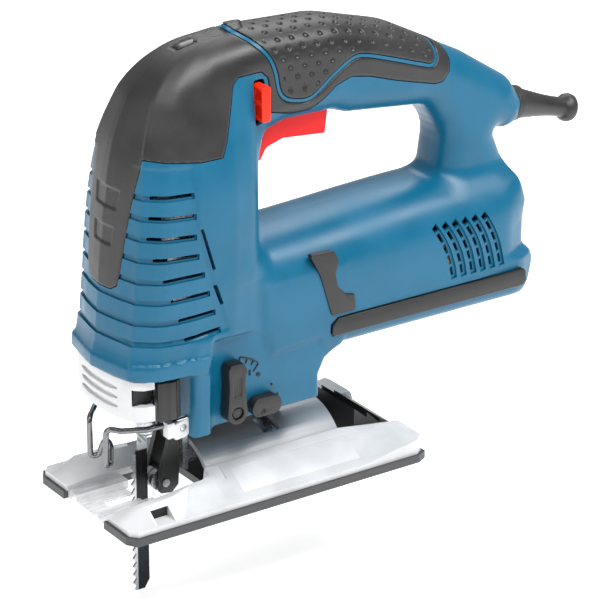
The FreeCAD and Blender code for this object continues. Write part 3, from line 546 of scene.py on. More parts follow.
def body(x, y, z):
    """Rough signed distance to the housing's outside."""
    side = np.abs(y)
    front = table(z, PROW)
    stretch = (PLAN_REAR - PLAN_FRONT) / (PLAN_REAR - np.minimum(front, PLAN_REAR - 8))
    plan_x = PLAN_REAR + (x - PLAN_REAR) * stretch
    plan_y = side * (PLAN_HALF / np.maximum(table(z, BREADTH), THINNEST))
    head = soft_max(outline_distance(PLAN, plan_x, plan_y), z - HEAD_TOP, 2.0)
    head = soft_max(head, outline_distance(HEAD_SIDE, x, z), 1.4)
    flange = soft_max(outline_distance(FLANGE, x, z), side - FLANGE_HALF, 2.0)
    neck = soft_max(outline_distance(NECK, x, z), side - NECK_HALF, 3.0)
    # the barrel's section is round above the motor's axis and boxy below it
    power = 2.5 + 3.5 * ease((MOTOR_HEIGHT + 3 - z) / 6)
    rise = np.where(z > MOTOR_HEIGHT, BARREL_ROOF + ROOF_CLIMB * ease(x / CLIMB_LENGTH), BARREL_DROP)
    section = ((side / BARREL_HALF) ** power + (np.abs(z - MOTOR_HEIGHT) / rise) ** power) ** (1 / power)
    barrel = soft_max((section - 1) * 29.8, outline_distance(BARREL_SIDE, x, z), 2.0)
    foot = x - 7.5 * ease((83.5 - z) / 5)
    barrel = soft_max(barrel, outline_distance(BARREL_PLAN, foot, side), 4.0)
    sheet = np.maximum(outline_distance(UPPER, x, z), -outline_distance(OPENING, x, z))
    across = side / (table(x, TUBE_BREADTH) + 7.0 * ease((124 - z) / 24))
    along = np.maximum(1 + sheet / TUBE_DEPTH, 0)
    tube = ((along ** TUBE_POWER + across ** TUBE_POWER) ** (1 / TUBE_POWER) - 1) * TUBE_DEPTH
    tube = np.maximum(tube, 100 - z)
    whole = soft_min(head, tube, 9.0)
    whole = soft_max(whole, -outline_distance(OPENING, x, z), 4.0)
    whole = soft_min(whole, barrel, 6.0)
    whole = soft_min(whole, soft_min(neck, flange, 7.0), 3.0)
    return whole + PANEL_RISE * ease(0.5 - outline_distance(PANEL, x, z) / 1.6) * ease((side - 12) / 8)


NUDGE = 0.35
FLATTEST = 0.35


def sloped(field, x, y, z):
    """A field's value and its slope at points."""
    here = field(x, y, z)
    return here, [(field(x + NUDGE, y, z) - here) / NUDGE, (field(x, y + NUDGE, z) - here) / NUDGE,
                  (field(x, y, z + NUDGE) - here) / NUDGE]


def steady(here, slope):
    return here / np.maximum(np.sqrt(sum(s * s for s in slope)), FLATTEST)


def true_body(x, y, z):
    """Distance to the housing's outside, evened out by the field's own slope."""
    return steady(*sloped(body, x, y, z))


CORNERS = [(i, j, k) for i in (0, 1) for j in (0, 1) for k in (0, 1)]
CELL_EDGES = [(a, b) for a in range(8) for b in range(a + 1, 8)
              if sum(abs(p - q) for p, q in zip(CORNERS[a], CORNERS[b])) == 1]


def skin(rule, low, high, step, polish=2):
    """Points in mm and four-cornered faces where rule(distance, x, y, z) changes sign inside a box."""
    axes = [np.arange(a, b + step, step) for a, b in zip(low, high)]
    x, y, z = axes[0][:, None, None], axes[1][None, :, None], axes[2][None, None, :]
    rough = body(x, y, z)
    gap = steady(rough, np.gradient(rough, step))
    field = rule(gap, x, y, z) + np.zeros_like(rough)
    for axis in range(3):
        for end in (0, -1):
            edge = [slice(None)] * 3
            edge[axis] = end
            field[tuple(edge)] = np.maximum(field[tuple(edge)], 0.4)
    inside = field < 0
    shape = [n - 1 for n in field.shape]
    count = sum(inside[i:i + shape[0], j:j + shape[1], k:k + shape[2]].astype(np.int8)
                for i, j, k in CORNERS)
    cells = np.argwhere((count > 0) & (count < 8))
    number = np.full(shape, -1, np.int64)
    number[tuple(cells.T)] = np.arange(len(cells))
    values = np.stack([field[cells[:, 0] + i, cells[:, 1] + j, cells[:, 2] + k] for i, j, k in CORNERS], 1)
    total = np.zeros((len(cells), 3))
    hits = np.zeros(len(cells))
    for a, b in CELL_EDGES:
        va, vb = values[:, a], values[:, b]
        cut = (va < 0) != (vb < 0)
        share = np.where(cut, va / np.where(va == vb, 1, va - vb), 0)[:, None]
        spot = np.array(CORNERS[a]) + share * (np.array(CORNERS[b]) - np.array(CORNERS[a]))
        total += spot * cut[:, None]
        hits += cut
    points = (cells + total / hits[:, None]) * step + np.array([axis[0] for axis in axes])
    faces = []
    for axis in range(3):
        u, v = (axis + 1) % 3, (axis + 2) % 3
        a = [slice(1, n - 1) for n in field.shape]
        b = list(a)
        a[axis] = slice(0, field.shape[axis] - 1)
        b[axis] = slice(1, field.shape[axis])
        first, last = inside[tuple(a)], inside[tuple(b)]
        for flip, where in ((False, first & ~last), (True, ~first & last)):
            spots = np.argwhere(where)
            spots[:, u] += 1
            spots[:, v] += 1
            ring = []
            for du, dv in ((-1, -1), (0, -1), (0, 0), (-1, 0)):
                cell = spots.copy()
                cell[:, u] += du
                cell[:, v] += dv
                ring.append(number[tuple(cell.T)])
            ring = np.stack(ring[::-1] if flip else ring, 1)
            faces.append(ring)
    faces = np.concatenate(faces)

    def field_at(px, py, pz):
        return rule(true_body(px, py, pz), px, py, pz)

    for _ in range(polish):
        here, slope = sloped(field_at, *points.T)
        size = np.maximum(sum(s * s for s in slope), 0.2)
        change = np.stack([-here * s / size for s in slope], 1)
        length = np.linalg.norm(change, axis=1, keepdims=True)
        points = points + change * np.minimum(1, 0.45 * step / np.maximum(length, 1e-9))
    return points, faces


def skin_object(name, points, faces, flip=False):
    if flip:
        points = points * np.array([1, -1, 1])
        faces = faces[:, ::-1]
    mesh = bpy.data.meshes.new(name)
    mesh.vertices.add(len(points))
    mesh.vertices.foreach_set("co", (points * MM).astype(np.float32).ravel())
    mesh.loops.add(faces.size)
    mesh.loops.foreach_set("vertex_index", faces.astype(np.int32).ravel())
    mesh.polygons.add(len(faces))
    mesh.polygons.foreach_set("loop_start", np.arange(0, faces.size, 4, dtype=np.int32))
    mesh.update(calc_edges=True)
    item = bpy.data.objects.new(name, mesh)
    bpy.context.scene.collection.objects.link(item)
    return item


# ------------------------------------------------------------------ housing shells

WALL = 2.4
GROOVE_DEPTH = 1.0
JOINT_GAP = 0.04
HALF_BOX = (-74, -35, 36), (153, 1.8, 207)


def half_skin(depth, step):
    """The left half of the housing's skin at a depth below the outside, a little past the middle."""
    return skin(lambda gap, x, y, z: np.maximum(gap + depth, y - 1.2), *HALF_BOX, step)


outer = half_skin(0.0, 0.8)
inner = half_skin(WALL, 1.8)
inset = half_skin(GROOVE_DEPTH, 1.6)


def ribbon(points, width):
    """The outline of a band of one width along an open line."""
    left, right = [], []
    for n, here in enumerate(points):
        ahead = Vector(points[min(n + 1, len(points) - 1)]) - Vector(points[max(n - 1, 0)])
        side = Vector((-ahead[1], ahead[0])).normalized() * width / 2
        left.append((here[0] + side[0], here[1] + side[1]))
        right.append((here[0] - side[0], here[1] - side[1]))
    return left + right[::-1]


# The piping between the two grips, the pad behind it, and the nose grip with its band below the pad.
PIPING = [(-9.5, 213), (-4.0, 206.5), (3.2, 200.6), (8.0, 194.5), (10.8, 187.6), (12.4, 180.0),
          (15.6, 175.6), (22.0, 173.4), (29.5, 173.6), (40.0, 180.8), (50.5, 186.6), (58.0, 186.4),
          (72.0, 182.0), (87.0, 176.8), (93.6, 174.8), (96.8, 176.6), (98.0, 181.2), (98.6, 186.0),
          (100.6, 192.0)]
PAD_REGION = curve(PIPING) + [(112, 215), (-10, 222)]
NOSE_SIDE = [(-95, 163.4), (-60, 163.4), (-44, 161.2), (-32, 159.6), (-21.5, 159.6), (-18.4, 166),
             (-14.4, 178), (-11.6, 187), (-8.6, 189.6), (3.4, 189.6), (6.6, 186.6), (7.6, 180.0),
             (7.8, 171.0), (20.0, 167.6), (29.0, 167.2), (34.0, 170.2), (42.0, 176.2), (50.0, 178.6),
             (60.0, 176.6), (74.0, 172.0), (87.5, 168.2), (95.8, 165.8), (100.6, 165.9), (104.2, 169.6),
             (105.6, 174.4), (105.2, 179.0), (103.5, 183.0), (100.6, 187.0), (101.0, 230), (-95, 230)]
TONGUE = [(-14.2, 126), (-13.0, 114), (-11.4, 107.0), (-7.5, 104.5), (7.5, 104.5), (11.4, 107.0),
          (13.0, 114), (14.2, 126), (16.0, 144), (18.0, 158), (18.8, 168), (40, 172), (40, 230), (-40, 230),
          (-40, 172), (-18.8, 168), (-18.0, 158), (-16.0, 144)]
NOSE_MARKS = [[(-8.8, 147.6), (8.8, 147.6), (7.8, 139.2), (-7.8, 139.2)],
              [(-7.2, 131.4), (7.2, 131.4), (6.2, 123.6), (-6.2, 123.6)]]
BUMPER = [(31.4, 67.4), (135.6, 67.4), (137.4, 69.4), (136.8, 75.2), (35.0, 75.2), (31.8, 72.6)]
BADGE = rounded([(19.8, 107.8), (32.4, 107.0), (35.0, 102.2), (33.3, 96.6), (34.4, 90.0), (38.4, 86.0),
                 (43.3, 84.6), (44.0, 77.4), (31.4, 77.2), (25.2, 97.6)], 0.9)
TOP_MARK = [(-28.4, -2.6), (-19.0, -4.2), (-16.6, 0), (-19.0, 4.2), (-28.4, 2.6)]


def nose_region(x, y, z):
    """Distance to the nose grip's edge: its side view, less the pad, and its tongue in front."""
    side = soft_max(outline_distance(NOSE_SIDE, x, z), 0.8 - outline_distance(PAD_REGION, x, z), 0.4)
    front = outline_distance(TONGUE, y, z)
    front = soft_max(front, x + 42, 1.0)
    return np.minimum(side, front)


def nose_cut(x, y, z):
    """Recesses in the nose grip: two dovetail marks in front and one small mark on top."""
    cut = np.minimum(outline_distance(NOSE_MARKS[0], y, z), outline_distance(NOSE_MARKS[1], y, z))
    cut = np.maximum(cut, x + 50)
    top = np.maximum(outline_distance(TOP_MARK, x, y), 190 - z)
    return np.minimum(cut, top)


PITCH, ROW, DIMPLE, DIMPLE_DEPTH = 7.2, 4.4, 1.35, 0.75
HANDLE_TOP = ((-14, 203.8), (2, 204.7), (22, 204.6), (44, 203.3), (60, 200.2), (78, 194.2), (98, 184.6))


def dimples(x, y, z):
    """How deep the grip pad's dimples are: staggered rows wrapped round the handle."""
    drop_down = (z - table(x, HANDLE_TOP) + TUBE_DEPTH) / TUBE_DEPTH
    wrap = np.arctan2(np.abs(y) / 17.5, drop_down) * 15.5
    line = np.round(wrap / ROW)
    along = x + 0.5 * PITCH * np.mod(line, 2)
    cell = np.mod(along, PITCH) - PITCH / 2
    radius = np.sqrt(cell ** 2 + (wrap - line * ROW) ** 2)
    inside = ease((-outline_distance(PAD_REGION, x, z) - 3.0) / 0.6)
    ends = ease((x - 4) / 3) * ease((97 - x) / 3)
    return DIMPLE_DEPTH * ease((DIMPLE - radius) / 0.7) * inside * ends


def grip(region, low, high, step, raised=0.35, depth=1.3, dents=None, soft=0.7):
    """A moulded-in part that follows the housing's skin inside a region."""
    def rule(gap, x, y, z):
        edge = region(x, y, z) + 0.2
        top = gap - raised
        if dents is not None:
            top = top + dents(x, y, z)
        return np.maximum(soft_max(top, edge, soft), -(gap + depth))
    return skin(rule, low, high, step)


def nose_dents(x, y, z):
    return 0.6 * ease(0.5 - nose_cut(x, y, z) / 0.8)


def pad_edge(margin):
    """The pad's outline, moved in by a margin."""
    return lambda x, y, z: outline_distance(PAD_REGION, x, z) + margin + 0 * y


def add_grip(name, data, material, replaces):
    """A finished grip from its skin's points and faces."""
    made = finish_mesh(name, mesh_of(skin_object(name + "_skin", *data), name), material, "housing",
                       50.0)
    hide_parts(*replaces)


nose_data = grip(nose_region, (-74, -31, 102), (108, 31, 208), 0.7, dents=nose_dents)
add_grip("nose_grip_moulding", nose_data, RUBBER, ("nose_grip", "handle_bands"))
pad_data = grip(pad_edge(0.8), (-10, -20, 170), (110, 20, 208), 0.55, dents=dimples)
add_grip("handle_pad_moulding", pad_data, RUBBER, ("handle_pad",))

# ------------------------------------------------------------------ cuts in the housing

BOOT_ROOT = (146, 0, 143.5)
BOOT_SLOPE = math.radians(15)
BOOT_AXIS = (math.cos(BOOT_SLOPE), 0, -math.sin(BOOT_SLOPE))
BOOT_BORE = 8.1

OUTSIDE = -40
THROUGH_WALL = -20
STRIP_SEAT = -28.9


def dig(outline, inward=THROUGH_WALL):
    """A cutter on the left side, from well outside to a depth."""
    return prism_data(outline, "XZ", OUTSIDE, inward)


VENT_TOPS = [86.8 + 5.4 * n for n in range(6)]
VENT_LEAN, VENT_HEIGHT, VENT_LENGTH = 10.2, 105.4, 26.4


def vent_point(n, share, aside=0.0):
    """A point on the n-th vent's bowed line, from its top at share 0 to its foot at share 1."""
    bow = 1.7 * share - 0.7 * share * share
    return (VENT_TOPS[n] + VENT_LEAN * bow + aside, VENT_HEIGHT - VENT_LENGTH * share)


def vent_cuts():
    """Channels, windows and slots of the motor's vents."""
    channels, holes = [], []
    for n in range(len(VENT_TOPS)):
        channels.append(dig(ribbon([vent_point(n, s / 10, 0.4) for s in range(11)], 3.2), 0))
        holes.append(dig(ribbon([vent_point(n, 0.03, 0.4), vent_point(n, 0.115, 0.4)], 2.9)))
        for k in range(4):
            first = 0.16 + 0.21 * k
            line = [vent_point(n, first + 0.16 * t / 4, -0.25) for t in range(5)]
            holes.append(dig(ribbon(line, 2.0)))
    return joined(*channels), joined(*holes)


channels, holes = vent_cuts()
# Air slots on the head: the front and rear end of each, and the groove that runs round the nose from it.
SLOT_ROWS = [(-57.6, 150.6, -39.1, 148.8), (-58.8, 142.0, -38.9, 139.8), (-60.0, 133.3, -39.1, 130.9),
             (-58.5, 124.1, -38.2, 122.2), (-55.3, 114.6, -35.6, 113.5), (-52.1, 105.4, -33.2, 104.5),
             (-48.9, 96.1, -30.6, 95.5), (-46.6, 87.0, -28.3, 87.0)]
SLOT_ROWS = [(ax + 3.4, az - 3.0, bx + 2.0, bz - 1.6) for ax, az, bx, bz in SLOT_ROWS]
front_slots = joined(*[dig(ribbon([(ax, az), ((ax + bx) / 2, (az + bz) / 2 + 0.1), (bx, bz)], 1.9))
                       for ax, az, bx, bz in SLOT_ROWS])
front_lines = joined(*[dig(ribbon([(-90, az + 1.2), (ax, az - 0.5), (bx + 0.4, bz - 0.5)], 2.5), 3)
                       for ax, az, bx, bz in SLOT_ROWS])
slash_slots = joined(dig(ribbon([(-34.6, 132.1), (-29.0, 112.9)], 1.5), -25),
                     dig(ribbon([(-28.7, 105.9), (-25.2, 96.4)], 1.5), -25))
trigger_slot = brick(3.2, 46, -9.7, 9.7, 147, 172)
plunger_bay = brick(-62, -36.5, -10.5, 10.5, 30, 92)
lock_cut = dig(rounded([(-1.8, 167.6), (5.4, 167.6), (5.4, 184.0), (4.6, 186.8), (-1.0, 186.8)], 1.5), -13)
lock_way = dig([(-0.8, 169), (4.6, 169), (4.6, 185.8), (-0.8, 185.8)], 40)
boot_hole = turned([(-40, BOOT_BORE), (12, BOOT_BORE)], BOOT_ROOT, BOOT_AXIS, 40)
dial_slit = prism_data([(141.5, 98.8), (154, 98.8), (154, 110.4), (141.5, 110.4)], "XZ", -4.4, 4.4)
cover_cut = brick(-75, -40, -27.6, 27.6, 37, 67.9)
bumper_cut = dig(rounded([(30.9, 66.9), (135.9, 66.9), (137.9, 69.2), (137.2, 75.7), (34.8, 75.7),
                          (31.3, 72.9)], 1.5), STRIP_SEAT)
badge_cut = dig(BADGE, STRIP_SEAT)
bar_mark = dig([(-28.2, 150.4), (-31.0, 150.4), (-27.4, 127.4), (-24.8, 127.4)], -31.4)
SCREWS = [(-30, 165), (14, 53), (84, 172), (136, 72), (112, 140)]
WELL_RADIUS, WELL_SEAT = 4.0, 10.8

groove_tool = loose("groove_tool", *joined(front_lines, channels))
carve(groove_tool, skin_object("groove_floor", *inset))
SEAT = {"step": 1.0, "raised": 3.0, "depth": 1.25, "soft": 0.4}
nose_tool = skin_object("nose_seat", *grip(lambda x, y, z: nose_region(x, y, z) - 0.3, (-74, -31, 102),
                                           (108, 1.8, 208), **SEAT))
pad_tool = skin_object("pad_seat", *grip(pad_edge(0.5), (-10, -20, 170), (110, 1.8, 208), **SEAT))


def shell(name, flip, node):
    """One housing half with its grooves, slots and holes."""
    item = skin_object(name + "_blank", *outer, flip=flip)
    carve(item, skin_object("hollow", *inner, flip=flip))
    tools = [holes, front_slots, slash_slots, trigger_slot, plunger_bay, boot_hole, dial_slit, cover_cut,
             lock_way, bumper_cut, badge_cut, lock_cut, bar_mark]
    for n, tool in enumerate(tools):
        carve(item, loose(f"tool_{n}", *(mirrored(tool) if flip else tool)))
    for source in (groove_tool, nose_tool, pad_tool):
        tool = source.copy()
        tool.data = source.data.copy()
        bpy.context.scene.collection.objects.link(tool)
        if flip:
            tool.data.transform(Matrix.Scale(-1, 4, (0, 1, 0)))
            tool.data.flip_normals()
        carve(item, tool)
    if flip:
        wells = joined(*[round_bar("Y", WELL_RADIUS, spot, WELL_SEAT, 40) for spot in SCREWS])
        carve(item, loose("wells", *wells))
    low, high = (-8, JOINT_GAP) if flip else (-JOINT_GAP, 8)
    carve(item, loose("joint_plane", *brick(-90, 170, low, high, 30, 220)))
    made = finish_mesh(name, mesh_of(item, name), BLUE, "housing", 38.0)
    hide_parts(node)


shell("housing_left_shell", False, "housing_left")
shell("housing_right_shell", True, "housing_right")
drop(groove_tool, nose_tool, pad_tool)

# ------------------------------------------------------------------ floor, lights and camera

CAMERA_PLACE, CAMERA_WAY = (-0.6611, -1.0298, 0.5993), (0.5158, 0.7629, -0.3898)
CAMERA_LENS, CAMERA_SENSOR = 184.3, 36.0
FLOOR_REACH, FLOOR_GAP, FLOOR_GLOW = 4.0, 0.0015, 0.62
WORLD_LIGHT = 0.4
LIT_SPOT = Vector((0.03, 0, 0.1))
SOFTBOXES = (("softbox_top", (0.30, -0.48, 1.08), (1.0, 0.35), 15.0),
             ("softbox_key", (-0.35, -0.55, 1.1), (0.6, 0.3), 4.0),
             ("softbox_front", (-1.3, 0.1, 0.6), (0.4, 0.9), 4.0),
             ("softbox_back", (0.6, 0.8, 1.0), (0.9, 0.6), 6.0))


def grey(value):
    return (value, value, value, 1)


def linked(name, data):
    item = bpy.data.objects.new(name, data)
    bpy.context.scene.collection.objects.link(item)
    return item


def studio_floor():
    """A wide pale floor just below the blade's tip, glowing a little so that it stays pale."""
    z = CAD_BOX[0][2] - FLOOR_GAP
    reach = FLOOR_REACH
    mesh = bpy.data.meshes.new("studio_floor")
    mesh.from_pydata([(-reach, -reach, z), (reach, -reach, z), (reach, reach, z), (-reach, reach, z)], [],
                     [(0, 1, 2, 3)])
    paint = Paint("studio_floor", Emission_Strength=FLOOR_GLOW)
    cloud = paint.noise(3.0, 2.0)
    share = cloud.fit(0.3, 0.7)
    paint.colour(paint.blend(share, grey(0.93), grey(0.96)))
    paint.rough(cloud.fit(0.3, 0.7, 0.75, 0.85))
    paint.plug(paint.shader.inputs["Emission Color"], paint.blend(share, grey(0.97), grey(1.0)))
    mesh.materials.append(paint.material)
    linked("studio_floor", mesh)


def studio():
    studio_floor()
    world = bpy.data.worlds.new("studio")
    world.use_nodes = True
    world.node_tree.nodes["Background"].inputs["Color"].default_value = grey(1.0)
    world.node_tree.nodes["Background"].inputs["Strength"].default_value = WORLD_LIGHT
    bpy.context.scene.world = world
    for name, place, size, power in SOFTBOXES:
        light = bpy.data.lights.new(name, "AREA")
        light.shape = "RECTANGLE"
        light.size, light.size_y = size
        light.energy = power
        lamp = linked(name, light)
        lamp.location = place
        lamp.rotation_euler = (LIT_SPOT - Vector(place)).to_track_quat("-Z", "Y").to_euler()
    lens = bpy.data.cameras.new("camera")
    lens.lens = CAMERA_LENS
    lens.sensor_width = CAMERA_SENSOR
    lens.clip_start = 0.05
    camera = linked("camera", lens)
    camera.location = CAMERA_PLACE
    camera.rotation_euler = Vector(CAMERA_WAY).to_track_quat("-Z", "Y").to_euler()
    bpy.context.scene.camera = camera
    bpy.context.scene.view_settings.view_transform = "Standard"


# ------------------------------------------------------------------ the pieces outside the shells


def both_sides(name, solid, look, body_name, node, edge):
    """One piece of two mirrored parts."""
    return piece(name, joined(solid, mirrored(solid)), look, body_name, edge, (node,))


both_sides("side_bumper_strips", prism_data(rounded(BUMPER, 1.6), "XZ", -30.7, -27.6), TRIM, "housing",
           "side_bumpers", 0.45)
both_sides("badge_panels", prism_data(BADGE, "XZ", -30.4, -27.4), TRIM, "housing",
           "badge_plates", 0.35)

COVER_HALF, COVER_FRONT = 27, -58
COVER_PLAN = [(-56.4, 27.0), (-61.2, 26.2), (-64.6, 23.4), (-66.2, 19.5), (-68.0, 13.0), (-69.0, 6.0),
              (-69.1, 0.0)]
LOUVRES = (52.8, 57.0, 61.2)


def cover_ring(shift):
    """Half outline of the cover moved inward by shift, then its mirror."""
    scale = (COVER_HALF - shift) / COVER_HALF
    near = [(x + shift if x < COVER_FRONT else x, -y * scale) for x, y in COVER_PLAN]
    far = [(x, -y) for x, y in near[:-1]]
    return near + far[::-1]


def cover_louvres():
    """Three curved grooves across the front, deepest in the middle."""
    band = cover_ring(-3.0) + cover_ring(1.3)[::-1]
    cutters = []
    for low in LOUVRES:
        item = loose("louvre_band", *prism_data(band, "XY", low - 2, low + 5))
        shape = rounded([(-14.6, low + 0.7), (-10, low), (10, low), (14.6, low + 0.7), (14.6, low + 1.5),
                         (10, low + 2.3), (-10, low + 2.3), (-14.6, low + 1.5)], 0.8)
        carve(item, loose("louvre_shape", *prism_data(shape, "YZ", -80, -60)), "INTERSECT", "EXACT")
        cutters.append(item)
    return cutters


def front_cover():
    """Blade cover: a bowed shell with a window on each side and louvres in front."""
    item = loose("cover_blank", *prism_data(cover_ring(0.0), "XY", 49.0, 67.4))
    hollow = prism_data([(x if x < COVER_FRONT else -50, y) for x, y in cover_ring(2.6)], "XY", 45, 64.8)
    carve(item, loose("cover_hollow", *hollow), solver="EXACT")
    for side in (-1, 1):
        low, high = sorted((side * 30, side * 20))
        carve(item, loose("cover_window", *brick(-65.0, -56.0, low, high, 56.0, 63.6)), solver="EXACT")
    for tool in cover_louvres():
        carve(item, tool, solver="EXACT")
    bevelled(item, 0.4)
    baked(item)
    made = finish_mesh("front_cover_shell", mesh_of(item, "front_cover_shell"), WHITE, "housing",
                       35)
    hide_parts("front_cover")


front_cover()
# Painted shade: dark sheets just inside the cover's windows stand for the shadow behind them.
window_shade = brick(-64.4, -55.6, -22.4, -20.4, 55.4, 64.2)
piece("cover_window_shade_sheets", joined(window_shade, mirrored(window_shade)), DARK_AND_SHADE, "housing", 0.2)

flap = prism_data(rounded([(-55.0, -24.0), (-55.0, -27.2), (-53.4, -28.0), (-51.0, -28.2), (-50.0, -29.1),
                           (-47.2, -29.1), (-46.4, -28.2), (-44.3, -27.8), (-44.3, -24.0)], 0.3),
                  "XY", 48.2, 65.8)
piece("blade_release_flap", flap, TRIM, "release_lever", 0.6, ("blade_release",))

bracket = prism_data(rounded([(-50.2, 38.4), (-50.2, 45.6), (-47.0, 45.6), (-46.6, 44.2), (-42.0, 45.6),
                              (-39.0, 46.2), (-39.0, 39.2), (-42.0, 37.6), (-46.4, 37.2),
                              (-47.0, 38.8)], 0.5), "XZ", -26.8, -22.7)
GUARD_SCREW = (-42.4, 42.0)
hole = round_bar("Y", 1.7, GUARD_SCREW, -28, -25.9)
piece("guard_bracket_pair", joined(bracket, mirrored(bracket)), CAST, "housing", 0.35,
      ("guard_brackets",), cuts=(hole, mirrored(hole)))
head = round_bar("Y", 1.35, GUARD_SCREW, -26.5, -25.8)
slit = brick(-42.65, -42.15, -27, -26.2, 40.6, 43.4)
piece("bracket_screws", joined(head, mirrored(head)), STEEL, "housing", 0.15,
      cuts=(slit, mirrored(slit)))

HUB = (-20.2, 46.0)
KNOB = (-4.4, 44.9)


def about(centre, offsets):
    """Points given as offsets from a centre."""
    return [(centre[0] + dx, centre[1] + dz) for dx, dz in offsets]


def spoke(centre, radius, degrees):
    """The point at a radius from a centre, at an angle from straight up towards the rear."""
    turn = math.radians(degrees)
    return centre[0] + radius * math.sin(turn), centre[1] + radius * math.cos(turn)


def lever():
    """Orbital lever: a waisted arm with a sunk eye over its hub and a long dish above."""
    shape = []
    for n in range(13):
        angle = math.radians(180 + 180 * n / 12)
        shape.append((HUB[0] + 5.0 * math.cos(angle), HUB[1] + 5.0 * math.sin(angle)))
    shape += about(HUB, [(4.3, 7), (4.0, 13), (4.4, 20.5), (3.2, 22.6), (-3.2, 22.6), (-4.4, 20.5),
                         (-4.0, 13), (-4.3, 7)])
    solid = prism_data(shape, "XZ", -35.0, -28.6)
    eye = round_bar("Y", 2.9, HUB, -36, -33.6)
    dish = rounded(about(HUB, [(-2.0, 7.5), (2.0, 7.5), (2.2, 16.5), (-2.2, 16.5)]), 1.0)
    dish = prism_data(dish, "XZ", -36, -34.5)
    piece("orbital_selector", solid, TRIM, "orbit_selector", 0.9, ("orbital_lever",),
          cuts=(eye, dish))
    piece("selector_cap", round_bar("Y", 2.3, HUB, -34.4, -33.4), TRIM, "orbit_selector", 0.3)


lever()

oval = [(KNOB[0] + (3.6 if math.cos(t) > 0 else -3.6) + 3.9 * math.cos(t), KNOB[1] + 4.2 * math.sin(t))
        for t in [2 * math.pi * (n + 0.5) / 32 for n in range(32)]]
piece("blower_selector", prism_data(oval, "XZ", -33.8, -28.6), TRIM, "blower", 1.3,
      ("blower_knob",), cuts=(round_bar("Y", 1.1, (KNOB[0] - 2.2, KNOB[1] - 1.6), -35, -33.1),))


def scale_print():
    """Thin generic marks beside the selector: an arc, ticks, bars and dots."""
    face = (-28.45, -27.6)
    arc = [spoke(HUB, 23.0, t) for t in range(14, 42, 2)]
    made = [prism_data(ribbon(arc, 0.55), "XZ", *face)]
    for t, size in ((14, 4.0), (24, 2.2), (33, 2.2), (41, 4.0)):
        ends = [spoke(HUB, r, t) for r in (22.7 - size, 22.7)]
        made.append(prism_data(ribbon(ends, 0.45), "XZ", *face))
    for t, width in ((19, 1.6), (28, 1.2), (37, 0.9)):
        x, z = spoke(HUB, 17.5, t)
        made.append(brick(x - width / 2, x + width / 2, *face, z - 1.2, z + 1.2))
    made.append(round_bar("Y", 0.95, (HUB[0] + 14.8, HUB[1] + 12.2), *face))
    for t in (-30, 10, 50):
        x, z = KNOB[0] + 9.0 * math.cos(math.radians(t)), KNOB[1] + 9.0 * math.sin(math.radians(t))
        made.append(round_bar("Y", 0.5, (x, z), *face))
    piece("selector_scale", joined(*made), DARK_AND_SHADE, "housing")


scale_print()

TRIGGER = [(10.0, 167.6), (44.0, 167.2), (43.4, 161.4, 0.8), (42.2, 152.2, 0.8), (20.5, 154.2, 6),
           (12.0, 151.6, 4), (9.2, 146.6, 0.6), (6.0, 146.6, 0.6), (6.8, 158.0, 2)]
piece("trigger_switch", prism_data(rounded(TRIGGER, 0.8, 6), "XZ", -8.9, 8.9), RED, "trigger_lever",
      1.5, ("trigger",), segments=4)

slide = prism_data(rounded([(-0.4, 169.6), (4.2, 169.6), (4.2, 185.2), (-0.4, 185.2)], 1.3), "XZ", -24.6, 21)
pockets = joined(brick(-2, 1.2, -23.4, -17.6, 171.4, 176.6), brick(-2, 1.2, -23.4, -17.6, 178.4, 183.4))
piece("lock_switch", slide, ORANGE, "lock_button", 0.9, ("lock_slider",), cuts=(pockets,))

BOOT = [(-4, 0), (-4, 7.6), (2.6, 7.7), (3.0, 8.1), (5.6, 8.1), (6.0, 7.2), (8, 6.9), (12, 6.3), (17, 5.6),
        (22, 5.0), (27, 4.6), (31, 4.5), (33.4, 4.7), (34.4, 5.6), (35.4, 6.3), (37.2, 6.6), (38.8, 6.2),
        (39.7, 5.0), (39.8, 3.9), (32, 3.8), (32, 0)]
piece("cord_boot", turned(BOOT, BOOT_ROOT, BOOT_AXIS), RUBBER, "housing", 0,
      ("cable_boot",), soft=30)

DIAL = (138.5, 104)
DIAL_RADIUS, DIAL_ROOT, TEETH = 11.0, 10.45, 36
wheel = []
for n in range(2 * TEETH):
    reach = DIAL_RADIUS if n % 2 else DIAL_ROOT
    turn = n * math.pi / TEETH
    wheel.append((DIAL[0] + reach * math.cos(turn), DIAL[1] + reach * math.sin(turn)))
piece("speed_dial_wheel", prism_data(wheel, "XZ", -3.6, 3.6), TRIM, "speed_dial", 0,
      ("speed_wheel",), cuts=(round_bar("Y", 1.8, DIAL, -5, 5),))

lens_shape = prism_data([(-27.4, -2.3), (-20.2, -3.4), (-17.6, 0), (-20.2, 3.4), (-27.4, 2.3)], "XY",
                        199.6, 202.5)
slope = Matrix.Translation((-22, 0, 202)) @ Matrix.Rotation(math.radians(-14), 4, "Y")
slope = slope @ Matrix.Translation((22, 0, -202))
piece("nose_lamp", moved(lens_shape, slope), GLOSS, "housing", 0.5)

# ------------------------------------------------------------------ base, blade and guard

EDGE_Y = -38.7
LOW_Z, FLOOR_TOP = 3.5, 6.0
SLOT_Y = -17
RAIL_FRONT, RAIL_REAR = -27, 42
ARCH_RADIUS, ARCH_INSIDE, ARCH_HALF = 25.5, 23.0, 19.4


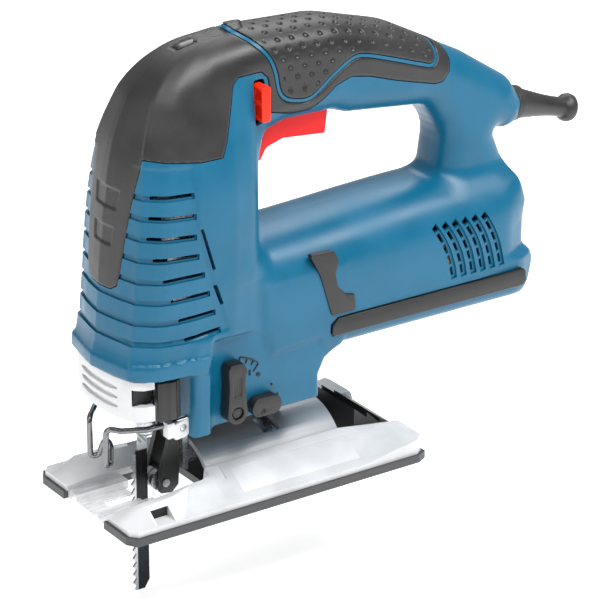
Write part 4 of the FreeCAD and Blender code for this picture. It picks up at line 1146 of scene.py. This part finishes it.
def rail_solid():
    """Near rail lofted along X; each station lists its section from the outer foot to the slot side."""
    stations = [(-75.6, [(EDGE_Y, 4.6), (-30, 6.2), (-26, 6.2), (SLOT_Y, 5.6)]),
                (-64.1, [(EDGE_Y, 5.4), (-30, 12.2), (-26, 12.0), (SLOT_Y, 6.5)]),
                (-50.0, [(EDGE_Y, 5.5), (-29, 12.6), (-25, 12.4), (SLOT_Y, 6.6)]),
                (-38.0, [(EDGE_Y, 5.5), (-25.4, 13.8), (-23.8, 13.2), (SLOT_Y, 6.6)]),
                (-31.8, [(EDGE_Y, 5.5), (-24.6, 14.2), (-23.6, 13.2), (SLOT_Y, 6.6)]),
                (-27.5, [(EDGE_Y, 5.5), (-23.4, 14.6), (-22.4, 13.6), (SLOT_Y, 8.2)]),
                (-26.9, [(EDGE_Y, 5.5), (-19.2, 16.7), (-17.9, 15.6), (SLOT_Y, 10)]),
                (42.0, [(EDGE_Y, 5.5), (-19.2, 16.7), (-17.9, 15.6), (SLOT_Y, 10)]),
                (75.6, [(EDGE_Y, 11.4), (-20.5, 11.6), (-18.6, 11.4), (SLOT_Y, 9)])]
    return loft([[(x, EDGE_Y, LOW_Z)] + [(x, y, z) for y, z in tops] + [(x, SLOT_Y, LOW_Z)]
                 for x, tops in stations])


def base_casting():
    """Cast base: two rails on a floor that is open in front, with sunk panels and toe windows."""
    near = rail_solid()
    item = loose("rails_blank", *near)
    carve(item, loose("far_rail", *mirrored(near)), "UNION", "EXACT")
    floor_shape = [(-75.6, -17), (-75.6, -35.4), (-72.8, -38.7), (72.0, -38.7), (75.6, -36.2), (75.6, 36.2),
                   (72.0, 38.7), (-72.8, 38.7), (-75.6, 35.4), (-75.6, 17), (-13.0, 17), (-10.0, 14),
                   (-10.0, -14), (-13.0, -17)]
    carve(item, loose("plate_floor", *prism_data(floor_shape, "XY", LOW_Z, FLOOR_TOP)), "UNION", "EXACT")
    carve(item, loose("plate_trim", *prism_data(floor_shape[:10], "XY", LOW_Z - 0.1, 30)),
          "INTERSECT", "EXACT")
    panel_from, panel_to = Vector((-34.6, 7.9)), Vector((-23.2, 14.6))
    out = Vector((-0.504, 0.864))
    section = [panel_from - out * 0.35, panel_to - out * 0.35, panel_to + out * 3, panel_from + out * 3]
    tools = [prism_data([tuple(p) for p in section], "YZ", -17, 44), brick(-63, -54, -60, -24, 6.0, 10.6),
             round_bar("Z", 4, (8, 0), 0, 9)]
    facet = prism_data([(-26.4, 12.2), (-20.4, 16.0), (-22.0, 20.0), (-29.0, 16.0)], "YZ", -40, -21)
    tools.append(moved(facet, Matrix.Translation((0, 0.25, -0.45))))
    for tool in tools:
        for solid in (tool, mirrored(tool)):
            carve(item, loose("base_tool", *solid), solver="EXACT")
    bevelled(item, 0.5)
    baked(item)
    made = finish_mesh("base_casting", mesh_of(item, "base_casting"), CAST, "base", 35)
    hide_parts("base_plate")


base_casting()
# Painted shade: dark blocks at the back of the toe notches stand for the shadow inside them.
toe_shade_block = brick(-62.8, -54.2, -31.5, -25.4, 6.1, 10.4)
piece("toe_notch_shade", joined(toe_shade_block, mirrored(toe_shade_block)), DARK_AND_SHADE, "base", 0.2)


def arch():
    """Rolled arch that the base tilts on, with a slot across its top."""
    reach = math.asin(ARCH_HALF / ARCH_RADIUS)
    steps = 40
    turns = [-reach + 2 * reach * n / steps for n in range(steps + 1)]
    outside = [(ARCH_RADIUS * math.sin(turn), ARCH_RADIUS * math.cos(turn)) for turn in turns]
    inside = [(y * ARCH_INSIDE / ARCH_RADIUS, z * ARCH_INSIDE / ARCH_RADIUS) for y, z in outside[::-1]]
    solid = prism_data(outside + inside, "YZ", RAIL_FRONT, RAIL_REAR)
    slot = prism_data(rounded([(6.4, -14.0), (15.4, -14.0), (15.4, 14.0), (6.4, 14.0)], 2.0), "XY", 15, 30)
    piece("arch_track", solid, SILVER, "base", 0.3, cuts=(slot,), soft=50)


arch()
BALL_RADIUS, BALL_RISE = 3.0, 1.1
ball = [(BALL_RISE * math.cos(math.radians(180 - 15 * n)), BALL_RADIUS * math.sin(math.radians(15 * n)))
        for n in range(13)]
piece("detent_ball", turned(ball, (11.5, -12.4, 20.8), (0, -0.512, 0.859), 24), STEEL, "base",
      soft=60)


def blade_look():
    """Blade: bright ground steel above, a dark printed body below with bright teeth."""
    paint = Paint("blade_steel", Metallic=1.0)
    low = paint.axis("Z").fit(0.0225, 0.0235, 1.0, 0.0)
    back = paint.axis("X").fit(-0.0512, -0.0506)
    lines = paint.noise(700.0, 3.0, (1, 1, 0.05))
    slanted = (paint.axis("X") * 1.0 + paint.axis("Z") * 0.8) * 420.0
    flute = slanted.math("FRACT", slanted).fit(0.4, 0.5)
    upper = (1 - low) * paint.axis("Z").fit(0.0262, 0.0268) * flute
    bright = paint.blend(lines, linear((196, 198, 200)), linear((150, 152, 154)))
    shade = paint.blend(low * back, bright, linear((40, 41, 43)))
    paint.colour(paint.blend(upper * 0.6, shade, linear((70, 72, 74))))
    paint.rough(lines.fit(0.3, 0.7, 0.25, 0.42))
    paint.bump(lines, 0.00001)
    return paint.material


clamp_low, clamp_high = [[c * 1000 for c in corner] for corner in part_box("blade_clamp")]
middle = ((clamp_low[0] + clamp_high[0]) / 2, 0, clamp_low[2])
full = (clamp_high[1] - clamp_low[1]) / 2
tall = clamp_high[2] - clamp_low[2]
CLAMP = [(0, 0), (0, full * 0.5), (1.2, full * 0.62), (tall * 0.4, full * 0.62), (tall * 0.45, full * 0.8),
         (tall * 0.9, full * 0.8), (tall, full * 0.7), (tall, 0)]
piece("clamp_sleeve", turned(CLAMP, middle, (0, 0, 1)), STEEL, "plunger", 0.3, ("blade_clamp",),
      soft=30)

# ------------------------------------------------------------------ looks of the other nodes

LOOKS = (
    (STEEL, """housing_screws stator gear_axle front_bearing rear_bearing fork_pin trigger_axle wheel_axle
     release_pin motor_shaft armature_core pinion gear_wheel crank_pin plunger_rod scotch_yoke roller_pin
     guide_roller orbital_shaft base_clamp clamp_screw"""),
    (TRIM, "terminal_block cable_clamp switch_block speed_module roller_fork dust_duct"),
    (BRASS, "brush_holders lower_bushing upper_bushing commutator"),
    (RUBBER, "rear_bearing_seat"), (CARBON, "carbon_brushes"), (CASE, "gear_case"), (CHROME, "wire_guard"),
    (CLEAR, "work_light splinter_guard"), (DARK_AND_SHADE, "base_guide"), (FAN, "cooling_fan"), (SHOE, "sole_shoe"))
SOFT_EDGES = {"roller_fork": 0.5, "sole_shoe": 0.7, "splinter_guard": 0.3, "dust_duct": 0.5,
              "base_clamp": 0.3, "gear_case": 0.4, "housing_screws": 0.2, "guide_roller": 0.3, "roller_pin": 0.2,
              "base_guide": 0.3, "clamp_screw": 0.2}


def dress(name, look, edge=0.0):
    """Gives a CAD node its material and, if it has any, its softened edges."""
    item = NODES[name]
    item.data.materials.clear()
    item.data.materials.append(look)
    if edge:
        bevelled(item, edge)


for look, names in LOOKS:
    for node_name in names.split():
        dress(node_name, look, SOFT_EDGES.get(node_name, 0.0))
dress("saw_blade", blade_look())

studio()
